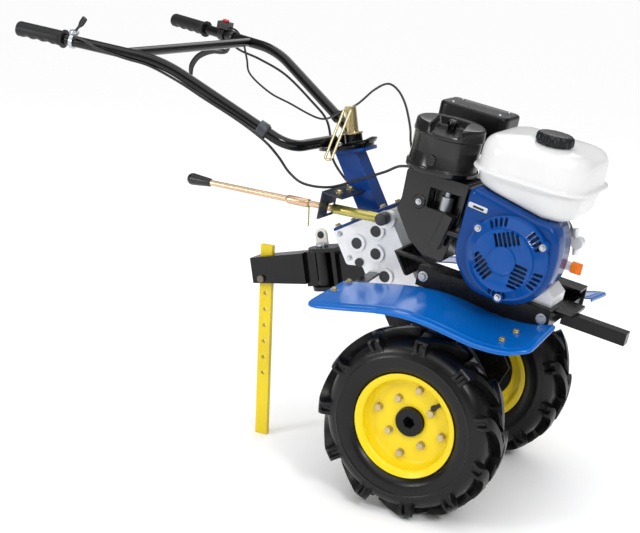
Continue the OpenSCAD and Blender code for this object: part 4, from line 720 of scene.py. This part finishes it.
box_outline = ringed(softened_outline([[-82, -48], [82, -48], [82, 48], [-82, 48]], 22.0, 8), 160)
shield_layers = np.concatenate([
    [[6, 0, 1.0], [6, 0, 0.2], [4, 0, 0], [2.5, 2, 0], [2.5, 46, 0], [0, 48, 0], [0, 54, 0]],
    rolled(8.0, 83.0), [[8, 91, 0.03], [10, 89.4, 0.08], [10, 89.4, 0.5], [10, 89.4, 1.0]]])
shield = skin("silencer_shield", "muffler_black", heat_black,
              pressing(box_outline, shield_layers) + [-120, 88, 531])
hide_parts("muffler")
pipe_bend = [[-48, 28, 471], [-54, 36, 492], [-62, 50, 516], [-70, 62, 535]]
skin("silencer_pipe", "muffler_black", heat_black, swept(smooth_path(pipe_bend, 14), 15.5, sides=28))
shield_seats = [[x, y, 619.4] for y in (60, 116) for x in (-176, -64)]
bolt_heads("silencer_screws", "bare_steel", slot_steel, shield_seats, UPWARD, 7.0, 4.0, washer=0.8)

# Oil plug: an orange moulded filler cap with a finger tab, screwed into its neck in front of the
# crankcase. It keeps its solid's shape with the edges rounded.
plug_orange = finish("orange moulding", "f0841a", "e27410", 0.35, 800.0, 0.08)
softened("oil_plug", 1.8, plug_orange, 3)

# Mudguards: pressed sheet in bright blue paint with a rolled lip, a bead along the lip and an embossed
# line at the front, on flat black stays with zinc bolts.
guard_blue = finish(
    "mudguard blue paint", "0460b4", "0457a6", 0.17, 300.0, 0.01, gleam=0.35, patch=4.0, spread=0.02)
GUARD_BACK, GUARD_L, GUARD_W, GUARD_IN, GUARD_LOW = 272.0, 494.0, 155.0, 125.3, 208.0
DROOP, LIP_ROLL = math.radians(7.0), 6.0
BEAD_IN, BEAD_HALF, BEAD_H = 19.0, 3.2, 1.8
LINE_HALF, LINE_H = 3.0, 1.6
rise_at = np.array([0, 0.23, 0.5, 0.77, 0.95, 1, 0.93, 0.87, 0.97, 1.25]) * 56.0


def guard_sheet():
    """Left-hand sheet over the plan: x runs from the rear edge to the front edge, y from the bed to the
    lip, and the height is the rise along x less the droop along y, with a bead set in from the lip, a line
    across the front and the edge rolled down. The second grid is the short skirt round the edge."""
    v = np.concatenate([
        np.linspace(0, 0.8, 40), 0.8 + 0.2 * np.sin(np.linspace(0, np.pi / 2, 26))[1:]])[None]
    u = np.concatenate([
        0.08 * (1 - np.cos(np.linspace(0, np.pi / 2, 14))), np.linspace(0.08, 0.9, 110)[1:],
        0.9 + 0.1 * np.sin(np.linspace(0, np.pi / 2, 16))[1:]])[:, None]
    rear = np.interp(v, [0, 0.7, 0.86, 0.92, 0.97, 1], [0.02, 0.004, 0.004, 0.014, 0.034, 0.068])
    front = np.interp(v, [0, 0.7, 0.84, 0.91, 0.96, 1], [1, 1, 0.998, 0.988, 0.965, 0.925])
    s = rear + (front - rear) * u
    across = np.broadcast_to(v, s.shape) * GUARD_W
    rise = smooth_path(rise_at[:, None], 400)[:, 0]
    lift = np.interp(np.clip(s, 0, 1), np.linspace(0, 1, 400), rise)
    slope_y = (across - lift * math.sin(DROOP)) / math.cos(DROOP)
    height = GUARD_LOW - slope_y * math.sin(DROOP) + lift * math.cos(DROOP)
    edge = np.minimum((1 - v) * GUARD_W, np.minimum(s - rear, front - s) * GUARD_L)
    bead = np.exp(-((edge - BEAD_IN) / BEAD_HALF) ** 2) * eased(0.05, 0.2, v)
    line = np.exp(-((s - 0.8 - 0.1 * v) * GUARD_L / LINE_HALF) ** 2)
    line = line * eased(0.42, 0.5, v) * eased(0.92, 0.84, v)
    roll = np.clip(LIP_ROLL - edge, 0.0, LIP_ROLL)
    height = height + BEAD_H * bead + LINE_H * line - (LIP_ROLL - np.sqrt(LIP_ROLL ** 2 - roll ** 2))
    top = joined(s * GUARD_L - GUARD_BACK, GUARD_IN + across, height)
    border = np.concatenate([top[0, :-1], top[:, -1], top[-1, -2::-1]])
    skirt = border[:, None] - np.array([0, 0, 1.0]) * np.linspace(0.0, 2.0, 3)[None, :, None]
    return top, skirt


guard_grids = guard_sheet()
guard_seats = np.array([
    [-242.4, 134.5, 213.9], [-248.5, 190.0, 205.7], [159.8, 179.0, 255.3], [150.8, 230.5, 248.1]])
for side, out in SIDES:
    fender = skin("mudguard_" + side, "blue_paint", guard_blue,
                  *[grid * [1, out, 1] for grid in guard_grids], ring=False)
    sheet_wall(fender, 2.5)
    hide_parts("fender_" + side)
    bolt_heads("mudguard_bolts_" + side, "zinc_gold", bolt_zinc, guard_seats * [1, out, 1],
               (0, out * math.sin(DROOP), math.cos(DROOP)), 10.0, 6.5, washer=1.6)
softened("fender_stays", 0.8, bed_black)

# Hitch: a black welded clevis on the gear case takes a silver pin, on which the drawbar swings. The yellow
# drag bar stands through the drawbar's end, and a cream lug with a rubber plug sits on the upper jaw.
hitch_black = finish("black hitch paint", "070708", "0d0d0e", 0.18, 420.0, 0.05, gleam=0.28)
pin_steel = finish("pin steel", "c4c7cc", "a5a9af", 0.24, 700.0, 0.08, metal=1.0)
bar_yellow = finish("yellow bar paint", "e4ca1a", "dcc114", 0.3, 380.0, 0.06, gleam=0.35, patch=4.0)
lug_cream = finish("cream lug paint", "f2f0e8", "e8e5dc", 0.36, 500.0, 0.04)
bolt_dull = finish("dull plated bolt", "7d746a", "655e56", 0.42, 700.0, 0.1, metal=0.8)
softened("hitch_clevis", 2.0, hitch_black, 3)
softened("hitch_pin", 1.0, pin_steel)
softened("hitch_lug", 0.8, lug_cream)
lug_eye = (-404.3, 15.3, 242.8)
lug_plug = [[0, 3.2], [5.5, 3.0], [7.6, 2.2], [8.4, 1.0], [8.6, 0.0], [6.8, 0.0], [6.8, -3.0], [0, -3.0]]
skin("hitch_lug_plug", slot_of("hitch_lug"), plug_rubber, turned(lug_plug, 36, lug_eye, RIGHTWARD))
softened("drawbar", 2.5, hitch_black, 3)
softened("coulter_bar", 1.0, bar_yellow)
softened("coulter_bolt", 1.0, bolt_dull)

# Handlebar: a black dished plate swivels on the stud, clamped by a zinc-gold nut tube with a wire bail, and
# carries two bent steel tubes joined by a crossbar, in gloss black paint, with moulded rubber grips.
bar_black = finish("gloss black paint", "060607", "0b0b0c", 0.14, 380.0, 0.02, gleam=0.32, spread=0.03)
nut_gold = finish("zinc gold plate", "bfae80", "a3946c", 0.24, 700.0, 0.02, metal=0.85, spread=0.03)
bail_wire = finish("bail wire", "e2d6ae", "cfc193", 0.28, 700.0, 0.08, metal=0.8)
grip_rubber = finish("grip rubber", "101012", "17181a", 0.44, 1300.0, 0.15, gleam=0.3, pebble=True)
HEAD_X, HEAD_Z, HEAD_LEAN = -358.0, 471.0, math.radians(20.0)
DISH_BACK, DISH_FOOT = 4.0, 8.1
TUBE_R, BENDS, TUBE_SHORT = 12.5, (72.0, 260.0), 5.0
GRIP_L, GRIP_SIDES, COLLAR_R, KNUCKLES = 118.0, 40, 20.5, 4.5


def bent(points, radii, turns=14):
    """Straight runs joined by arcs: each inner corner gives way to an arc that touches both."""
    p = np.asarray(points, float)
    route = [p[:1]]
    for before, corner, after, radius in zip(p[:-2], p[1:-1], p[2:], radii):
        u = unit(before - corner)
        w = unit(after - corner)
        half = math.acos(np.clip(u @ w, -1, 1)) / 2
        centre = corner + unit(u + w) * radius / math.sin(half)
        x = (corner + u * radius / math.tan(half) - centre) / radius
        y = unit((corner - centre) - ((corner - centre) @ x) * x)
        a = np.linspace(0, math.pi - 2 * half, turns)[:, None]
        route.append(centre + radius * (np.cos(a) * x + np.sin(a) * y))
    return np.concatenate(route + [p[-1:]])


def moulded_grip(end, way):
    """Grip along way to its end: a collar, then a round body whose lower half dips between the fingers as a
    cosine along it, eased in towards the underside."""
    t = np.linspace(0.0, 1.0, 90)[:, None]
    dip = 2.4 * (0.5 + 0.5 * np.cos(2 * np.pi * KNUCKLES * (t - 0.12)))
    dip = dip * eased(0.1, 0.2, t) * eased(0.98, 0.9, t)
    girth = 15.2 + 1.8 * eased(0.03, 0.12, t) - 1.6 * eased(0.97, 1.0, t)
    girth = girth - dip * eased(-0.2, -0.8, np.sin(circle(GRIP_SIDES)))
    girth = np.where(t < 0.04, COLLAR_R, girth)
    return swept(end - way * GRIP_L * (1.0 - t), girth, sides=GRIP_SIDES)


softened("swivel_head", 1.5, bar_black, 3)
dish_turn = circle(144)[None]
dish_r = np.array([20.2, 34, 46, 52, 55, 56.6, 57, 56, 52, 46, 34, 20.2])[:, None]
dish_lift = np.array([0.4, 0.8, 3.5, 7, 9, 9.4, 8.4, 5.4, 0.4, 0.1, 0.1, 0.1])[:, None]
dish_z = DISH_FOOT + dish_lift * (0.12 + 0.88 * eased(-0.15, 0.5, np.cos(dish_turn)))
dish = joined(dish_r * np.cos(dish_turn) - DISH_BACK, dish_r * np.sin(dish_turn), dish_z)
skin("swivel_dish", "black_paint", bar_black, closed(leant(dish, HEAD_LEAN, HEAD_X, HEAD_Z)),
     body="handlebar")
softened("clamp_nut", 1.0, nut_gold)
softened("clamp_bail", 0.0, bail_wire)
softened("handle_crossbar", 0.0, bar_black)
root = leant([-37.0, -22.0, 20.8], HEAD_LEAN, HEAD_X, HEAD_Z)
knee, elbow, grip_end = np.array([[-440, -150, 464.0], [-738, -246, 584.0], [-1091, -305, 573.0]])
grip_way = unit(grip_end - elbow)
tube_points = [root, knee, elbow, grip_end - TUBE_SHORT * grip_way]
tube_route = along(bent(tube_points, BENDS), np.linspace(0, 1, 220))
for side, out in SIDES:
    to_side = np.array([1, -out, 1])
    tube = skin("handle_tube_" + side, "black_paint", bar_black,
                swept(tube_route * to_side, TUBE_R, sides=32), body="handlebar")
    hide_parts("handle_" + side)
    grip = skin("hand_grip_" + side, "grip_rubber", grip_rubber,
                moulded_grip(grip_end * to_side, grip_way * to_side), body="handlebar")
    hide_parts("grip_" + side)

# Levers and switch: a throttle thumb lever on the right tube, a flat clutch blade and a rounded stop switch
# with a red rocker on the left, all on clamp bands. A grey clamp holds the cable above the right knee.
lever_black = finish("lever black", "0c0c0e", "141416", 0.3, 800.0, 0.1)
switch_red = finish("red rocker", "cf1f22", "b8181b", 0.3, 700.0, 0.06)
clamp_grey = finish("clamp moulding", "2a2d33", "353941", 0.4, 900.0, 0.12, pebble=True)
THROTTLE_OUT, BLADE_OUT, CLAMP_OUT = 219.0, 149.0, 72.0
BLADE_BOX, BLADE_HALF_T = np.array([118, 16, 131]), 3.6
band = np.array([[12.6, -9], [16.2, -9], [16.5, -8.5], [16.5, 8.5], [16.2, 9], [12.6, 9]], float)
throttle_at = elbow + grip_way * THROTTLE_OUT
skin("throttle_band", "bare_steel", slot_steel,
     closed(turned(band * [1.0, 0.5], 40, throttle_at, grip_way)), body="handlebar")
quadrant_turn = [[0, 24], [9, 24], [10.5, 23], [11, 21], [11, 17], [9, 15], [0, 15]]
skin("throttle_quadrant", "bare_steel", slot_steel,
     turned(quadrant_turn, 40, throttle_at, UPWARD), body="handlebar")
thumb_points = np.array([[0, 0, 20], [7, 0, 30], [14, 0, 40], [21, 0, 52], [24, 0, 58]])
thumb_share = np.linspace(0, 1, 40)[:, None]
thumb_girth = 3.0 + 4.2 * eased(0.3, 0.6, thumb_share) - 2.6 * eased(0.9, 1.0, thumb_share)
thumb_path = smooth_path(throttle_at + thumb_points, len(thumb_share))
thumb = skin("throttle_thumb", "black_plastic", lever_black,
             swept(thumb_path, thumb_girth, thumb_girth * 0.55, sides=20, up=LEFTWARD),
             body="handlebar")
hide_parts("throttle_lever")
to_left = np.array([1, -1, 1])
blade_root = elbow + grip_way * BLADE_OUT
blade_points = np.array([
    [-0.03, 0, -0.12], [-0.178, -0.94, -0.331], [-0.49, -0.94, -0.392], [-0.72, -1, -0.492],
    [-0.898, -1, -0.629], [-1, -1, -0.82], [-0.983, -1, -1]])
blade_share = np.linspace(0, 1, 80)[:, None]
blade_path = smooth_path(blade_root + blade_points * BLADE_BOX, len(blade_share)) * to_left
blade_wide = 5.0 + 3.0 * eased(0.1, 0.3, blade_share) - 2.5 * eased(0.8, 1.0, blade_share)
clutch = skin("clutch_blade", "black_plastic", lever_black,
              swept(blade_path, blade_wide, BLADE_HALF_T, sides=20, up=LEFTWARD),
              closed(turned(band, 40, blade_root * to_left, grip_way * to_left)),
              body="handlebar")
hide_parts("clutch_lever")
softened("stop_switch", 5.0, lever_black, 4)
softened("switch_button", 2.0, switch_red, 3)
softened("cable_straps", 0.8, grip_rubber)
clamp_way = unit(elbow - knee)
skin("cable_clamp", "black_plastic", clamp_grey,
     closed(turned(band * [1.06, 1.2], 40, knee + clamp_way * CLAMP_OUT, clamp_way)),
     body="handlebar")

# Control cables: black sheathed cables held at both ends, along the tubes and across the swivel to the
# engine and gear case. Each runs across the swivel as one fixed sheath, riding on no body.
sheath_black = finish("cable sheath", "0a0a0b", "121213", 0.34, 900.0, 0.06)
throttle_route = [
    [-943.5, -293, 590], [-916, -291, 588], [-882, -287, 579], [-817, -273, 573], [-759, -259, 570],
    [-689, -240, 551], [-635, -223, 530], [-551, -201, 500], [-492, -177, 469], [-460, -159, 440],
    [-431, -146, 409], [-397, -132, 392], [-344, -112, 398], [-288, -96, 430], [-236, -87, 462],
    [-205, -86, 484], [-163, -88, 494]]
clutch_route = [
    [-879, 271, 559], [-850, 270, 551], [-788, 262, 546], [-692, 236, 532], [-583, 198, 494],
    [-530, 178, 470], [-483, 124, 446], [-440, 70, 412], [-390, 52, 380], [-340, 60, 352],
    [-305, 74, 342], [-282, 84, 340.5]]
switch_route = [
    [-896.5, 279, 599], [-884, 290, 592], [-866, 297, 568], [-840, 285, 532], [-809, 262, 502],
    [-728, 232, 479], [-653, 206, 474], [-538, 165, 470], [-470, 125, 510], [-413, 84, 548],
    [-363, 50, 598], [-320, 20, 626], [-280, -10, 625], [-242, -42, 606], [-208, -72, 570],
    [-193, -88, 545], [-186, -90, 530]]
cable_runs = (("throttle_cable", throttle_route, 3.0, 8, 13), ("clutch_cable", clutch_route, 3.0, 5, 9),
              ("switch_wire", switch_route, 2.5, 6, 15))
for name, route, radius, held, freed in cable_runs:
    cable = skin(name + "_sheath", "black_plastic", sheath_black,
                 swept(smooth_path(route, 160), radius, sides=12), body=None)
    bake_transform(cable)
    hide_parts(name)

# Floor and light: a pale studio floor that runs past the picture, under three soft boxes, a broad overhead
# light and a pale sky, which is white where it is seen and weaker as a light.
floor_white = finish("studio floor", "fefefe", "fdfdfd", 0.9, 60.0, 0.0, gleam=0.0, spread=0.02)
FLOOR_HALF, FLOOR_Z, SKY_LIGHT = 60.0, -0.0005, 0.3
floor_mesh = bpy.data.meshes.new("floor")
floor_signs = ((-1, -1), (1, -1), (1, 1), (-1, 1))
floor_corners = [(x * FLOOR_HALF, y * FLOOR_HALF, FLOOR_Z) for x, y in floor_signs]
floor_mesh.from_pydata(floor_corners, [], [(0, 1, 2, 3)])
floor_mesh.materials.append(floor_white)
floor = bpy.data.objects.new("floor", floor_mesh)
scene.collection.objects.link(floor)
sky = bpy.data.worlds.new("studio")
sky.use_nodes = True
backdrop = sky.node_tree.nodes["Background"]
backdrop.inputs["Color"].default_value = (1.0, 1.0, 1.0, 1.0)
seen_or_lit = sky.node_tree.nodes.new("ShaderNodeLightPath")
sky_strength = sky.node_tree.nodes.new("ShaderNodeMath")
sky_strength.operation = "MULTIPLY_ADD"
sky_strength.inputs[1].default_value = 1.0 - SKY_LIGHT
sky_strength.inputs[2].default_value = SKY_LIGHT
sky.node_tree.links.new(seen_or_lit.outputs["Is Camera Ray"], sky_strength.inputs[0])
sky.node_tree.links.new(sky_strength.outputs[0], backdrop.inputs["Strength"])
scene.world = sky


def soft_box(name, place, size, power):
    """Square area light at place, turned to the machine's middle."""
    lamp = bpy.data.objects.new(name, bpy.data.lights.new(name, "AREA"))
    lamp.data.size = size
    lamp.data.energy = power
    lamp.location = place
    aim = Vector((0.1, 0.0, 0.5)) - lamp.location
    lamp.rotation_euler = aim.to_track_quat("-Z", "Y").to_euler()
    scene.collection.objects.link(lamp)


soft_box("key_box", (2.6, -2.2, 2.4), 0.6, 44.0)
soft_box("side_box", (-1.9, -2.9, 1.6), 0.9, 36.0)
soft_box("back_box", (-0.4, 2.8, 3.2), 2.2, 30.0)
overhead = bpy.data.objects.new("overhead", bpy.data.lights.new("overhead", "SUN"))
overhead.data.energy = 2.25
overhead.data.angle = math.radians(80.0)
overhead.rotation_euler = (math.radians(14.0), math.radians(10.0), 0.0)
scene.collection.objects.link(overhead)
scene.view_settings.view_transform = "Standard"
